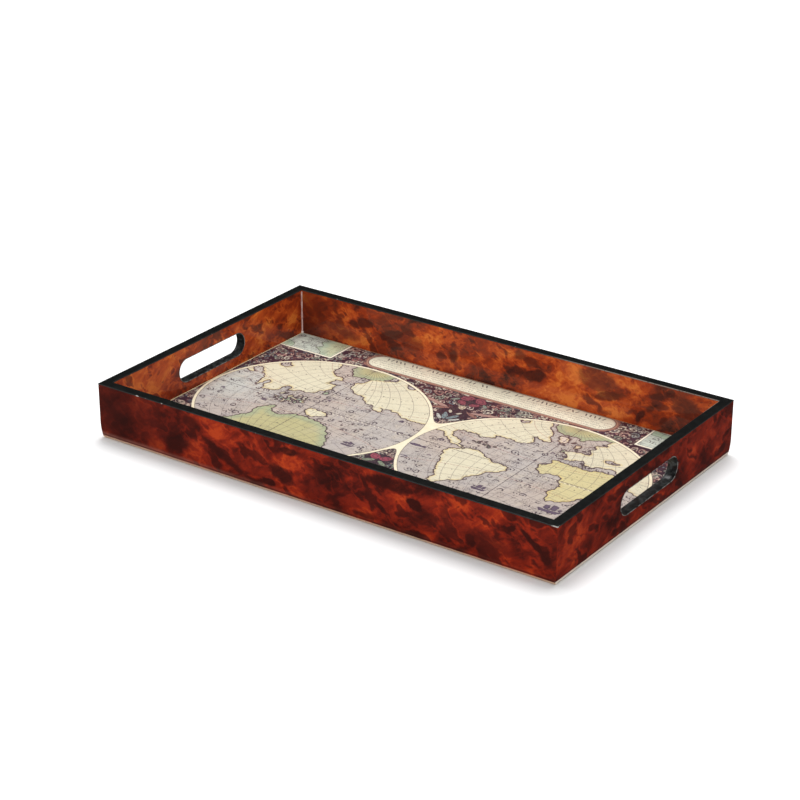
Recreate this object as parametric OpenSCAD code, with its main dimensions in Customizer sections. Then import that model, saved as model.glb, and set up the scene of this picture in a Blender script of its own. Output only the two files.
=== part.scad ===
// Serving tray with four mitred, veneered walls, a black rim, a hand slot in
// each end wall, and a printed map sheet on its floor.
// Origin: centre of the footprint, on the surface the tray stands on.
// +X runs along the long side, +Y from the front wall to the back wall, +Z up.

/* [Tray] */
// Length over the end walls
tray_l = 480; // [400:1:560]
// Width over the long walls
tray_w = 295; // [250:1:360]
// Height from the table to the top of the rim
tray_h = 53; // [44:1:70]
// Thickness of a finished wall, veneers included
wall_t = 9.5; // [8:0.5:14]
// Height of the map's surface above the table
floor_h = 8; // [5:0.5:9]

/* [Skins] */
// Thickness of the burl veneer on either face of a wall
veneer_t = 0.6; // [0.4:0.1:1]
// Thickness of the black band along the top of a wall
rim_t = 0.8; // [0.5:0.1:1.5]
// Thickness of the printed map sheet with its lacquer
print_t = 0.4; // [0.2:0.1:0.6]
// Gap between the map sheet and the walls
print_gap = 0.4; // [0.2:0.1:1]
// Radius of the lacquer bead in each inner corner
bead_r = 1.2; // [0.8:0.1:2]
// How far each corner bead stops below the rim band
bead_drop = 1; // [0.5:0.5:3]

/* [Outer face] */
// Height where a wall's outer face starts to curve in towards its foot
belly_h = 16; // [12:1:24]
// Radius of that slow inward curve
belly_r = 85; // [70:1:160]
// Radius of the rounded foot
toe_r = 1.5; // [1:0.1:2.6]

/* [Hand slots] */
// Length of a hand slot over its round ends
slot_l = 97; // [85:1:110]
// Height of a hand slot
slot_h = 24; // [20:1:28]
// Height of the slot's centre above the table
slot_z = 29; // [26:0.5:30]
// Thickness of the black lining inside a hand slot
lining_t = 0.8; // [0.5:0.1:1.5]

/* [Base] */
// Width of the rebate that the base panel sits in
rebate_w = 4; // [3:0.5:5]
// Thickness of the felt under the tray
felt_t = 0.5; // [0.4:0.1:1.5]
// Distance from the tray's edge to the felt's edge
felt_inset = 4.5; // [4:0.5:12]
// Corner radius of the felt
felt_r = 7; // [4:1:15]

/* [Nails] */
// Diameter of the corner brads and the base pins
nail_d = 1.2; // [1:0.1:1.4]
// Length of a corner brad
brad_l = 22; // [18:1:30]
// Depth of a corner brad's head below the outer face
brad_set = 1; // [0.8:0.1:2]
// Length of a base pin
pin_l = 13; // [10:0.5:13]
// Diameter of a base pin's head
pin_head_d = 2.2; // [1.8:0.1:2.6]
// Thickness of a base pin's head
pin_head_t = 0.6; // [0.4:0.1:0.8]

/* [Hidden] */
$fn = 48;

front = "front";
right = "right";
back = "back";
left = "left";

wall_bottom = felt_t;
panel_top = floor_h - print_t;
skin_top = tray_h - rim_t;
rebate_u = wall_t - rebate_w;
arc_steps = 10;
reach = 1;   // how far a cutter runs past the face it cuts

// The foot's arc runs smoothly into the belly's arc, at this angle below level.
toe_turn = asin((belly_h - wall_bottom - toe_r) / (belly_r - toe_r));
toe_centre = [
    belly_r - (belly_r - toe_r) * cos(toe_turn),
    belly_h - (belly_r - toe_r) * sin(toe_turn)
];

brad_heights = [12, 40];
brad_s = tray_l / 2 - wall_t / 2;
pin_u = wall_t - rebate_w / 2;
long_pin_s = [for (k = [-2 : 2]) k * tray_l / 4.8];
end_pin_s = [for (k = [-1, 1]) for (share = [0.22, 0.37]) k * share * tray_w];

function long_side(side) = side == front || side == back;
function side_length(side) = long_side(side) ? tray_l : tray_w;
function has_slot(side) = !long_side(side);

// Outer face of a wall from its foot to its top, set back by depth: [in from the face, height].
function outer_face(depth) = concat(
    [for (k = [0 : arc_steps])
        let (a = 270 - k / arc_steps * (90 - toe_turn))
        toe_centre + (toe_r - depth) * [cos(a), sin(a)]],
    [for (k = [1 : arc_steps])
        let (a = 180 + toe_turn * (1 - k / arc_steps))
        [belly_r, belly_h] + (belly_r - depth) * [cos(a), sin(a)]],
    [[depth, skin_top]]
);

function reversed(points) = [for (k = [len(points) - 1 : -1 : 0]) points[k]];

// Puts a wall drawn along X, with its outer face on Y = 0, at its side of the tray.
module at_side(side) {
    turn = side == front ? 0 : side == right ? 90 : side == back ? 180 : -90;
    place = side == front ? [0, -tray_w / 2, 0]
        : side == right ? [tray_l / 2, 0, 0]
        : side == back ? [0, tray_w / 2, 0]
        : [-tray_l / 2, 0, 0];
    translate(place) rotate([0, 0, turn]) children();
}

// A [depth, height] profile run along X and mitred at both ends.
module mitred_run(length, profile) {
    intersection() {
        rotate([90, 0, 90])
            linear_extrude(height = length, center = true) polygon(profile);
        linear_extrude(height = tray_h + reach)
            polygon([
                [-length / 2, 0],
                [length / 2, 0],
                [length / 2 - wall_t - reach, wall_t + reach],
                [-length / 2 + wall_t + reach, wall_t + reach]
            ]);
    }
}

// The hand slot's space, taken in by inset all round, through the whole wall.
module slot_space(inset, from, to) {
    r = slot_h / 2 - inset;
    straight = slot_l - slot_h;
    translate([0, to, slot_z]) rotate([90, 0, 0]) {
        for (k = [-1, 1]) translate([k * straight / 2, 0, 0]) cylinder(r = r, h = to - from);
        translate([-straight / 2, -r, 0]) cube([straight, 2 * r, to - from]);
    }
}

module without_slot(side) {
    difference() {
        children();
        if (has_slot(side)) slot_space(0, -reach, wall_t + reach);
    }
}

// Brads through the long walls into the ends of the short walls.
module all_brads() {
    for (side = [front, back]) at_side(side)
        for (k = [-1, 1]) for (z = brad_heights)
            translate([k * brad_s, brad_set, z])
                rotate([-90, 0, 0]) cylinder(d = nail_d, h = brad_l);
}

module pin() {
    cylinder(d = nail_d, h = pin_l);
    cylinder(d = pin_head_d, h = pin_head_t);
}

// Pins through the base panel into every wall.
module all_pins() {
    for (side = [front, right, back, left]) at_side(side)
        for (s = long_side(side) ? long_pin_s : end_pin_s)
            translate([s, pin_u, wall_bottom]) pin();
}

module wall_core(side) {
    profile = concat(
        outer_face(veneer_t),
        [
            [wall_t - veneer_t, skin_top],
            [wall_t - veneer_t, panel_top],
            [rebate_u, panel_top],
            [rebate_u, wall_bottom],
            [toe_centre[0], wall_bottom]
        ]
    );
    color("burlywood") difference() {
        at_side(side) without_slot(side) mitred_run(side_length(side), profile);
        all_brads();
        all_pins();
    }
}

module outer_veneer(side) {
    profile = concat(outer_face(0), reversed(outer_face(veneer_t)));
    color("saddlebrown") at_side(side)
        without_slot(side) mitred_run(side_length(side), profile);
}

module inner_veneer(side) {
    profile = [
        [wall_t - veneer_t, panel_top],
        [wall_t, panel_top],
        [wall_t, skin_top],
        [wall_t - veneer_t, skin_top]
    ];
    color("chocolate") at_side(side)
        without_slot(side) mitred_run(side_length(side), profile);
}

module rim_band(side) {
    profile = [[0, skin_top], [wall_t, skin_top], [wall_t, tray_h], [0, tray_h]];
    color("black") at_side(side) mitred_run(side_length(side), profile);
}

module slot_lining(side) {
    color("dimgray") at_side(side) difference() {
        slot_space(0, 0, wall_t);
        slot_space(lining_t, -reach, wall_t + reach);
    }
}

module base_panel() {
    size = [tray_l - 2 * rebate_u, tray_w - 2 * rebate_u];
    color("tan") difference() {
        translate([-size[0] / 2, -size[1] / 2, wall_bottom])
            cube([size[0], size[1], panel_top - wall_bottom]);
        all_pins();
    }
}

module map_print() {
    size = [tray_l, tray_w] - 2 * (wall_t + print_gap) * [1, 1];
    color("wheat") translate([-size[0] / 2, -size[1] / 2, panel_top])
        cube([size[0], size[1], print_t]);
}

module felt_backing() {
    size = [tray_l, tray_w] - 2 * felt_inset * [1, 1];
    color("darkslategray") linear_extrude(height = felt_t) {
        square([size[0] - 2 * felt_r, size[1]], center = true);
        square([size[0], size[1] - 2 * felt_r], center = true);
        for (i = [-1, 1]) for (j = [-1, 1])
            translate([i * (size[0] / 2 - felt_r), j * (size[1] / 2 - felt_r)]) circle(r = felt_r);
    }
}

// A hollow-faced fillet of lacquer up each inner corner.
module corner_beads() {
    inner = [tray_l / 2 - wall_t, tray_w / 2 - wall_t];
    color("firebrick") for (i = [0, 1]) for (j = [0, 1])
        mirror([i, 0, 0]) mirror([0, j, 0])
            translate([inner[0] - bead_r, inner[1] - bead_r, floor_h])
                linear_extrude(height = skin_top - bead_drop - floor_h)
                    difference() {
                        square(bead_r);
                        circle(r = bead_r);
                    }
}

module corner_brads() {
    color("silver") all_brads();
}

module base_pins() {
    color("silver") all_pins();
}

wall_core(front);  // front_wall_core
wall_core(right);  // right_wall_core
wall_core(back);  // back_wall_core
wall_core(left);  // left_wall_core
outer_veneer(front);  // front_outer_veneer
outer_veneer(right);  // right_outer_veneer
outer_veneer(back);  // back_outer_veneer
outer_veneer(left);  // left_outer_veneer
inner_veneer(front);  // front_inner_veneer
inner_veneer(right);  // right_inner_veneer
inner_veneer(back);  // back_inner_veneer
inner_veneer(left);  // left_inner_veneer
rim_band(front);  // front_rim_band
rim_band(right);  // right_rim_band
rim_band(back);  // back_rim_band
rim_band(left);  // left_rim_band
slot_lining(right);  // right_slot_lining
slot_lining(left);  // left_slot_lining
base_panel();
map_print();
felt_backing();
corner_beads();
corner_brads();
base_pins();
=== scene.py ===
"""A lacquered wooden serving tray: burl walls, black rim, lined hand slots and a printed chart."""

import math
import random

import bmesh
import bpy
import numpy as np
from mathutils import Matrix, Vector, noise


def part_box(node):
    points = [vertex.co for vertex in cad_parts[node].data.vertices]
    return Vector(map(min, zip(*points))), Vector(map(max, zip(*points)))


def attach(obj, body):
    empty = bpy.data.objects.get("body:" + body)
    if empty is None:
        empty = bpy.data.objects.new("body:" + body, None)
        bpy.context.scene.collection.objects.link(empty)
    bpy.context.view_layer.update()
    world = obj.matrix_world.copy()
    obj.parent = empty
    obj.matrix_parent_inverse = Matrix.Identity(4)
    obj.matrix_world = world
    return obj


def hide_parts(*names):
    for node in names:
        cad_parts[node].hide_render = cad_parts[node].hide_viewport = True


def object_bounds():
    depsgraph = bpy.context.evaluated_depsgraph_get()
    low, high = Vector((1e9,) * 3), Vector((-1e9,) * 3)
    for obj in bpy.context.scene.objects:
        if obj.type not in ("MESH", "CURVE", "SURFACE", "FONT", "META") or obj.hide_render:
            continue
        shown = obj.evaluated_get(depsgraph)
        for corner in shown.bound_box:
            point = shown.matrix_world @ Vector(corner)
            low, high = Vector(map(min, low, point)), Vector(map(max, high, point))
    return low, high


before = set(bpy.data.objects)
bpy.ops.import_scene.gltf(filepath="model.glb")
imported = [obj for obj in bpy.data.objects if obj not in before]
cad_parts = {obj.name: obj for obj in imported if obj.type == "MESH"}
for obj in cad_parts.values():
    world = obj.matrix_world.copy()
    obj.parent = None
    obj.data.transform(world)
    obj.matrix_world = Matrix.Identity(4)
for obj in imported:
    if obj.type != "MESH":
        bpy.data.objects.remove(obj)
cad_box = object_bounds()

bl_info = {
    "name": "Serving Tray",
    "version": (1, 0, 0),
    "blender": (4, 5, 0),
    "location": "View3D > Sidebar > Tray",
    "description": "Builds the tray's finished surfaces on its CAD frame",
    "category": "Object",
}

MM = 0.001
SIDES = ("front", "right", "back", "left")

# ---------------------------------------------------------------- places taken from the frame


def corners(node):
    """Lowest and highest corner of a CAD node, as vectors in metres."""
    low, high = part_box(node)
    return Vector(low), Vector(high)


TRAY_HIGH = Vector(cad_box[1])
HALF_LENGTH = TRAY_HIGH.x
HALF_WIDTH = TRAY_HIGH.y
RIM_TOP = TRAY_HIGH.z
SKIN_LOW, SKIN_HIGH = corners("front_outer_veneer")
SKIN_BOTTOM = SKIN_LOW.z
SKIN_TOP = SKIN_HIGH.z
VENEER = corners("front_inner_veneer")[1].y - corners("front_wall_core")[1].y
INNER_FRONT = corners("front_inner_veneer")[1].y
WALL = INNER_FRONT + HALF_WIDTH
CHART_LOW, CHART_HIGH = corners("map_print")
FELT_LOW, FELT_HIGH = corners("felt_backing")
BEAD_LOW, BEAD_HIGH = corners("corner_beads")
SLOT_LOW, SLOT_HIGH = corners("right_slot_lining")
FLOOR_MM = CHART_HIGH.z / MM
# Two sizes that the CAD nodes' boxes don't give.
LINING = 0.8 * MM
FELT_CORNER = 7 * MM
# How far a cutter runs past the face that it cuts.
CLEAR = 5 * MM
# Steps along the outer face's slow curve, and round its foot.
BELLY_STEPS = 8
TOE_STEPS = 10


# ---------------------------------------------------------------- properties


def length(title, text, value, low=0.0, high=1.0):
    """A length property in metres."""
    return bpy.props.FloatProperty(
        name=title, description=text, default=value, min=low, max=high,
        precision=5, subtype="DISTANCE", unit="LENGTH",
    )


def colour(title, text, value):
    """A colour property."""
    return bpy.props.FloatVectorProperty(
        name=title, description=text, default=value, size=3, min=0.0, max=1.0, subtype="COLOR",
    )


class TraySizes(bpy.types.PropertyGroup):
    """Sizes of the details that the looks add to the frame."""

    corner_round: length("Corner rounding", "Radius of the upright outer corners", 0.9 * MM)
    belly_start: length("Belly start", "Height at which the outer face starts to curve in", 16 * MM)
    belly_radius: length("Belly radius", "Radius of the slow curve above the foot", 85 * MM)
    toe_radius: length("Toe radius", "Radius of the rounded foot", 1.4 * MM)
    foot_drop: length("Foot drop", "How far the lacquered foot hangs below the boards", 0.25 * MM)
    rim_round: length("Rim rounding", "Width of the rounded arris along the rim", 0.32 * MM)
    rim_waver: length("Rim waver", "How far the hand-cut rim strays from straight", 0.22 * MM)
    lip: length("Slot lip", "How far a slot lining stands proud of the wall", 0.12 * MM)
    lip_round: length("Slot lip rounding", "Width of the rounded lip of a slot lining", 0.3 * MM)
    bead_width: length("Bead width", "Width of the lacquer bead in an inner corner", 1.2 * MM)
    blob: length("Bead blob", "Radius of the drop at the foot of a bead", 1.3 * MM)
    felt_edge: length("Felt edge", "Rounding of the felt's cut edge", 0.14 * MM)
    chart_pitch: length("Chart grid", "Spacing of the points that carry the chart's coasts", 1.17 * MM)


class TrayColours(bpy.types.PropertyGroup):
    """Colours of the finishes."""

    outer_dark: colour("Outer dark", "Darkest figure of the outer burl", (0.030, 0.0048, 0.0034))
    outer_brown: colour("Outer brown", "Flakes of the outer burl", (0.064, 0.0058, 0.0030))
    outer_body: colour("Outer body", "Middle tone of the outer burl", (0.145, 0.0096, 0.0030))
    outer_bright: colour("Outer bright", "Lighter figure of the outer burl", (0.245, 0.0165, 0.0036))
    outer_flame: colour("Outer flame", "Brightest figure of the outer burl", (0.40, 0.039, 0.0056))
    inner_dark: colour("Inner dark", "Darkest figure of the inner burl", (0.055, 0.012, 0.008))
    inner_brown: colour("Inner brown", "Flakes of the inner burl", (0.17, 0.028, 0.011))
    inner_body: colour("Inner body", "Middle tone of the inner burl", (0.33, 0.041, 0.0095))
    inner_bright: colour("Inner bright", "Lighter figure of the inner burl", (0.545, 0.088, 0.016))
    inner_flame: colour("Inner flame", "Brightest figure of the inner burl", (0.74, 0.19, 0.032))
    black: colour("Black lacquer", "Rim bands and slot linings", (0.0036, 0.0040, 0.0038))
    sea: colour("Sea", "The chart's seas", (0.450, 0.408, 0.378))
    ink: colour("Ink", "The chart's lines", (0.055, 0.036, 0.050))
    ground: colour("Ground", "Dark ground between the globes", (0.034, 0.017, 0.028))
    felt: colour("Felt", "The felt under the tray", (0.016, 0.022, 0.019))


class TrayView(bpy.types.PropertyGroup):
    """Where the camera stands."""

    azimuth: bpy.props.FloatProperty(
        name="Azimuth", description="Turn of the camera about the tray, from straight in front",
        default=math.radians(35.21), subtype="ANGLE", unit="ROTATION",
    )
    elevation: bpy.props.FloatProperty(
        name="Elevation", description="Height of the camera above the floor's plane",
        default=math.radians(24.272), subtype="ANGLE", unit="ROTATION",
    )
    distance: length("Distance", "Camera to the point that it looks at", 2.0815, 0.5, 10.0)
    target_x: length("Target X", "Point that the camera looks at, along the tray", -0.0643, -1.0)
    target_y: length("Target Y", "Point that the camera looks at, across the tray", 0.0707, -1.0)
    target_z: length("Target Z", "Height of the point that the camera looks at", 0.002, -1.0)
    lens: bpy.props.FloatProperty(
        name="Lens", description="Focal length on a 36 mm sensor, in millimetres", default=100.5,
    )


# ---------------------------------------------------------------- modelling helpers


def clear_selection():
    """Leaves object mode with nothing selected."""
    if bpy.context.object and bpy.context.object.mode != "OBJECT":
        bpy.ops.object.mode_set(mode="OBJECT")
    bpy.ops.object.select_all(action="DESELECT")


def only(piece):
    """Selects one piece and makes it active."""
    clear_selection()
    piece.select_set(True)
    bpy.context.view_layer.objects.active = piece


def place(name):
    """Names the new active object, and moves its place, turn and size into its mesh."""
    piece = bpy.context.object
    piece.name = name
    piece.data.name = name
    bpy.ops.object.transform_apply(location=True, rotation=True, scale=True)
    return piece


def edit(piece, kind):
    """Opens a piece in edit mode, with one kind of element to select and nothing selected."""
    only(piece)
    bpy.ops.object.mode_set(mode="EDIT")
    bpy.ops.mesh.select_mode(type=kind)
    bpy.ops.mesh.select_all(action="DESELECT")


def pick(piece, kind, wanted):
    """Selects the elements for which wanted(element) is true, in edit mode."""
    bpy.ops.mesh.select_mode(type=kind)
    bpy.ops.mesh.select_all(action="DESELECT")
    mesh = bmesh.from_edit_mesh(piece.data)
    mesh.normal_update()
    pools = {"VERT": mesh.verts, "EDGE": mesh.edges, "FACE": mesh.faces}
    for element in pools[kind]:
        if wanted(element):
            element.select_set(True)
    mesh.select_flush_mode()
    bmesh.update_edit_mesh(piece.data)


def middle(edge):
    """Middle point of an edge."""
    return (edge.verts[0].co + edge.verts[1].co) / 2


def close(piece, angle=35.0):
    """Back to object mode, joints merged, faces outward, and smooth where faces nearly meet."""
    bpy.ops.mesh.select_mode(type="VERT")
    bpy.ops.mesh.select_all(action="SELECT")
    bpy.ops.mesh.remove_doubles(threshold=1e-6)
    bpy.ops.mesh.normals_make_consistent(inside=False)
    bpy.ops.object.mode_set(mode="OBJECT")
    bpy.ops.object.shade_smooth_by_angle(angle=math.radians(angle))
    return piece


def modify(piece, kind, **settings):
    """Adds a modifier, sets it and applies it."""
    only(piece)
    modifier = piece.modifiers.new(kind.lower(), kind)
    for key, value in settings.items():
        setattr(modifier, key, value)
    bpy.ops.object.modifier_apply(modifier=modifier.name)


def copy_of(piece, name):
    """A copy with its own mesh."""
    copy = piece.copy()
    copy.data = piece.data.copy()
    copy.name = name
    copy.data.name = name
    bpy.context.scene.collection.objects.link(copy)
    return copy


def drop(piece):
    """Removes a helper object and its mesh."""
    mesh = piece.data
    bpy.data.objects.remove(piece)
    bpy.data.meshes.remove(mesh)


def dress(piece, finish, nodes=()):
    """Gives a piece its material and says where it belongs."""
    piece.data.materials.clear()
    piece.data.materials.append(finish)
    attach(piece, "root")
    if nodes:
        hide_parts(*nodes)


def dress_node(name, finish):
    """Gives a CAD node that stays in view its material."""
    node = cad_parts[name]
    if not node.material_slots:
        node.data.materials.append(finish)
    for held in node.material_slots:
        held.material = finish


def cut_mitres(piece, side):
    """Keeps only one side's share of a ring, cut at the two mitres."""
    corner = {
        "front": ((-1, -1), (1, -1)), "right": ((1, -1), (1, 1)),
        "back": ((1, 1), (-1, 1)), "left": ((-1, 1), (-1, -1)),
    }[side]
    outward = {"front": (0, -1), "right": (1, 0), "back": (0, 1), "left": (-1, 0)}[side]
    edit(piece, "VERT")
    for i, j in corner:
        # The mitre's plane holds the corner's diagonal; its normal leans to this side.
        diagonal = Vector((-i, -j, 0)).normalized()
        normal = Vector((-diagonal.y, diagonal.x, 0))
        if normal.x * outward[0] + normal.y * outward[1] < 0:
            normal = -normal
        bpy.ops.mesh.select_all(action="SELECT")
        bpy.ops.mesh.bisect(
            plane_co=(i * HALF_LENGTH, j * HALF_WIDTH, 0), plane_no=normal,
            use_fill=True, clear_inner=True, clear_outer=False, threshold=1e-7,
        )
    bpy.ops.mesh.select_all(action="DESELECT")
    close(piece)


def ripple(piece, wanted, amount, span, seed):
    """Moves points of a ring in or out by a smooth random amount."""
    for vert in piece.data.vertices:
        if not wanted(vert.co):
            continue
        along = Vector((vert.co.x, vert.co.y, seed)) / span
        shift = amount * noise.noise(along)
        toward = Vector((0, math.copysign(1, vert.co.y), 0))
        if HALF_LENGTH - abs(vert.co.x) < HALF_WIDTH - abs(vert.co.y):
            toward = Vector((math.copysign(1, vert.co.x), 0, 0))
        if abs((HALF_LENGTH - abs(vert.co.x)) - (HALF_WIDTH - abs(vert.co.y))) < 1e-6:
            toward = Vector((math.copysign(1, vert.co.x), math.copysign(1, vert.co.y), 0))
        vert.co += toward * shift


# ---------------------------------------------------------------- shader helpers


class Wire:
    """A socket of a material. Sums, products and the like on it add Math nodes."""

    def __init__(self, bench, socket):
        self.bench = bench
        self.socket = socket

    def __add__(self, other):
        return self.bench.math("ADD", self, other)

    __radd__ = __add__

    def __sub__(self, other):
        return self.bench.math("SUBTRACT", self, other)

    def __rsub__(self, other):
        return self.bench.math("SUBTRACT", other, self)

    def __mul__(self, other):
        return self.bench.math("MULTIPLY", self, other)

    __rmul__ = __mul__

    def __truediv__(self, other):
        return self.bench.math("DIVIDE", self, other)

    def __rtruediv__(self, other):
        return self.bench.math("DIVIDE", other, self)

    def __abs__(self):
        return self.bench.math("ABSOLUTE", self)

    def __gt__(self, other):
        return self.bench.math("GREATER_THAN", self, other)

    def __lt__(self, other):
        return self.bench.math("LESS_THAN", self, other)


class Bench:
    """Builds one material's nodes."""

    def __init__(self, name):
        self.material = bpy.data.materials.new(name)
        self.material.use_nodes = True
        self.tree = self.material.node_tree
        self.tree.nodes.clear()
        coordinates = self.tree.nodes.new("ShaderNodeTexCoord")
        self.place = Wire(self, coordinates.outputs["Object"])
        self.place = self.vector_math("SCALE", self.place, Scale=1 / MM)
        self.x, self.y, self.z = self.split(self.place)

    def node(self, kind, settings=(), values=(), output=0):
        """Adds a node: its settings first, then the values or links of its sockets."""
        node = self.tree.nodes.new(kind)
        for key, value in dict(settings).items():
            if key == "stops":
                self.set_stops(node.color_ramp, value)
            else:
                setattr(node, key, value)
        for key, value in dict(values).items():
            socket = node.inputs[key]
            if isinstance(value, Wire):
                self.tree.links.new(value.socket, socket)
            elif isinstance(value, (int, float)):
                socket.default_value = value
            elif len(socket.default_value) == 4:
                socket.default_value = (*value[:3], 1.0)
            else:
                socket.default_value = value
        return Wire(self, node.outputs[output])

    @staticmethod
    def set_stops(ramp, stops):
        """Gives a colour ramp its stops."""
        while len(ramp.elements) < len(stops):
            ramp.elements.new(1.0)
        for element, (position, value) in zip(ramp.elements, stops):
            element.position = position
            element.color = (*value, 1.0)

    def math(self, operation, *values):
        """A Math node."""
        return self.node("ShaderNodeMath", {"operation": operation}, enumerate(values))

    def vector_math(self, operation, a, b=None, output=0, **values):
        """A Vector Math node."""
        sockets = {0: a, **values}
        if b is not None:
            sockets[1] = b
        return self.node("ShaderNodeVectorMath", {"operation": operation}, sockets, output)

    def split(self, vector):
        """The three parts of a vector."""
        node = self.tree.nodes.new("ShaderNodeSeparateXYZ")
        self.tree.links.new(vector.socket, node.inputs[0])
        return [Wire(self, out) for out in node.outputs]

    def join(self, x, y, z=0.0):
        """A vector from three values."""
        return self.node("ShaderNodeCombineXYZ", (), {"X": x, "Y": y, "Z": z})

    def mix(self, factor, a, b, blend="MIX"):
        """A Mix node for colours."""
        settings = {"data_type": "RGBA", "blend_type": blend, "clamp_factor": True}
        return self.node("ShaderNodeMix", settings, {0: factor, 6: a, 7: b}, 2)

    def step(self, value, low, high):
        """0 below low, 1 above high, and smooth between; low may be the greater."""
        settings = {"interpolation_type": "SMOOTHSTEP"}
        return self.node(
            "ShaderNodeMapRange", settings,
            {"Value": value, "From Min": low, "From Max": high, "To Min": 0.0, "To Max": 1.0},
        )

    def noise(self, vector, span, detail=2.0, rough=0.5, seed=0.0, output=0):
        """Smooth noise about 0.5, with features of about span."""
        return self.node(
            "ShaderNodeTexNoise", {"noise_dimensions": "4D"},
            {"Vector": vector, "W": seed, "Scale": 1.0 / span, "Detail": detail, "Roughness": rough},
            output,
        )

    def cells(self, vector, span, output, dimensions="3D"):
        """Voronoi cells about span wide: output 0 is distance, 1 random colour, 2 the middle."""
        return self.node(
            "ShaderNodeTexVoronoi", {"voronoi_dimensions": dimensions},
            {"Vector": vector, "Scale": 1.0 / span}, output,
        )

    def ramp(self, value, stops):
        """A colour ramp."""
        return self.node("ShaderNodeValToRGB", {"stops": stops}, {"Fac": value})

    def warp(self, vector, span, amount, seed, detail=2.0):
        """Moves a place by a smooth random amount."""
        drift = self.noise(vector, span, detail, 0.5, seed, 1)
        drift = self.vector_math("SUBTRACT", drift, (0.5, 0.5, 0.5))
        drift = self.vector_math("SCALE", drift, Scale=2 * amount)
        return self.vector_math("ADD", vector, drift)

    def band(self, value, centre, half, soft):
        """1 within half of centre, falling to 0 over soft."""
        return self.step(abs(value - centre), half + soft, half)

    def bump(self, height, strength, distance):
        """A Bump node."""
        return self.node(
            "ShaderNodeBump", (), {"Height": height, "Strength": strength, "Distance": distance},
        )

    def finish(self, **values):
        """The surface shader. Numbers are set on its own sockets."""
        shader = self.node("ShaderNodeBsdfPrincipled", (), {
            key.replace("_", " "): value for key, value in values.items()
        })
        output = self.tree.nodes.new("ShaderNodeOutputMaterial")
        self.tree.links.new(shader.socket, output.inputs["Surface"])
        return self.material


def dust(bench, span, radius, share, seed):
    """Sparse pale specks: 1 inside a speck."""
    shifted = bench.vector_math("ADD", bench.place, (seed, seed * 0.7, seed * 1.3))
    near = bench.cells(shifted, span, 0)
    kind = bench.split(bench.cells(shifted, span, 1))[0]
    size = kind * radius
    return bench.step(near * span, size, size * 0.6) * (kind > 1 - share)


# ---------------------------------------------------------------- finishes


# Figure that is placed, not left to chance, and at the left ends broad soft darkening. Each row:
# place along the wall and height of its middle, half its length, half its height, its lean in
# degrees, its strength and how soft it is.
# Places are in mm, along from the wall's middle and up from FIGURE_FOOT. The outer rows are on
# the front wall and the inner rows on the back wall; the other walls' figure is all random.
OUTER_DARK_FIGURE_AND_SHADE = (
    # The first row is painted shade: a broad soft darkening over the left end of the front wall.
    (-236, 30, 74, 60, 0, 0.80, 0.75), (-150, 17, 17, 8, 8, 0.9, 0.4), (-133, 41, 10, 7, -20, 0.8, 0.3),
    (-97, 19, 29, 4.4, -27, 0.9, 0.3), (-34, 19, 14, 6.5, -22, 0.92, 0.22), (-48, 8, 7, 3.6, 0, 0.95, 0.18),
    (-25, 43, 12, 3.4, 4, 0.95, 0.2), (78, 42, 23, 6, 2, 0.95, 0.2), (104, 31, 8, 5.6, -12, 1.0, 0.12),
    (112, 20, 17, 6, 10, 0.6, 0.15), (219, 29, 19, 2.4, -38, 1.0, 0.2), (230, 20, 8, 5, -52, 0.95, 0.25),
    (175, 18, 20, 8, -8, 0.6, 0.4), (159, 15, 4.5, 6, 20, 0.85, 0.2), (197, 37, 5, 2.6, 35, 1.0, 0.18),
    (26, 38, 7, 5, 30, 0.5, 0.3), (53, 6, 12, 3, 0, 0.8, 0.4), (8, 26, 13, 6, -24, 0.5, 0.4),
)
OUTER_BRIGHT_FIGURE = (
    (-107, 44, 16, 6, -10, 0.7, 0.5), (-29, 33, 17, 8, 12, 0.9, 0.5), (-131, 13, 12, 10, 30, 0.45, 0.7),
    (121, 37, 14, 9, -25, 0.6, 0.5), (38, 40, 7, 6, 10, 0.6, 0.6), (140, 18, 9, 8, 60, 0.4, 0.6),
)
INNER_DARK_FIGURE = (
    (-153, 34, 11, 5.2, 10, 0.9, 0.15), (-166, 30, 6, 4, -10, 0.9, 0.18), (-122, 28, 16, 5.2, 20, 1.0, 0.16),
    (-104, 37, 10, 4, -22, 0.85, 0.18), (-98, 25, 14, 8, 5, 0.55, 0.2), (-50, 25, 5.5, 8, -10, 0.9, 0.25),
    (-184, 20, 24, 5.5, -14, 0.6, 0.25), (-128, 45, 14, 4, 30, 0.6, 0.25), (41, 27, 12, 6.2, 18, 1.0, 0.1),
    (24, 44, 6.5, 5.5, 0, 0.75, 0.25), (108, 39, 20, 11, -5, 0.6, 0.1), (118, 27, 15, 4.6, 16, 0.8, 0.15),
    (153, 17, 8, 3.2, 60, 1.0, 0.15), (169, 39, 9, 3.6, 8, 0.95, 0.15), (199, 35, 15, 10, -20, 0.7, 0.12),
    # The row at -226 is a broad soft darkening over the left end of the back wall.
    (-226, 24, 36, 40, 0, 0.68, 0.8), (163, 25, 5, 3, 30, 0.8, 0.25), (177, 18, 5, 3, 30, 0.85, 0.25),
)
INNER_BRIGHT_FIGURE = (
    (-32, 24, 17, 8, 14, 0.75, 0.5), (73, 27, 19, 30, 4, 1.0, 0.2), (-60, 14, 20, 5, 8, 0.5, 0.6),
    (127, 13, 13, 5, 6, 0.6, 0.6), (140, 42, 16, 6, -10, 0.6, 0.6), (160, 30, 24, 8, 12, 0.4, 0.7),
)


# Height above the table that the rows' heights start from, in mm.
FIGURE_FOOT = 2.0
# Each wall is cut from its own stretch of veneer, this far along the sheet, in mm: the back and
# front walls at + and - the first, the right and left ends at + and - the second.
LONG_SHEET = 1000.0
END_SHEET = 2000.0


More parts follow.
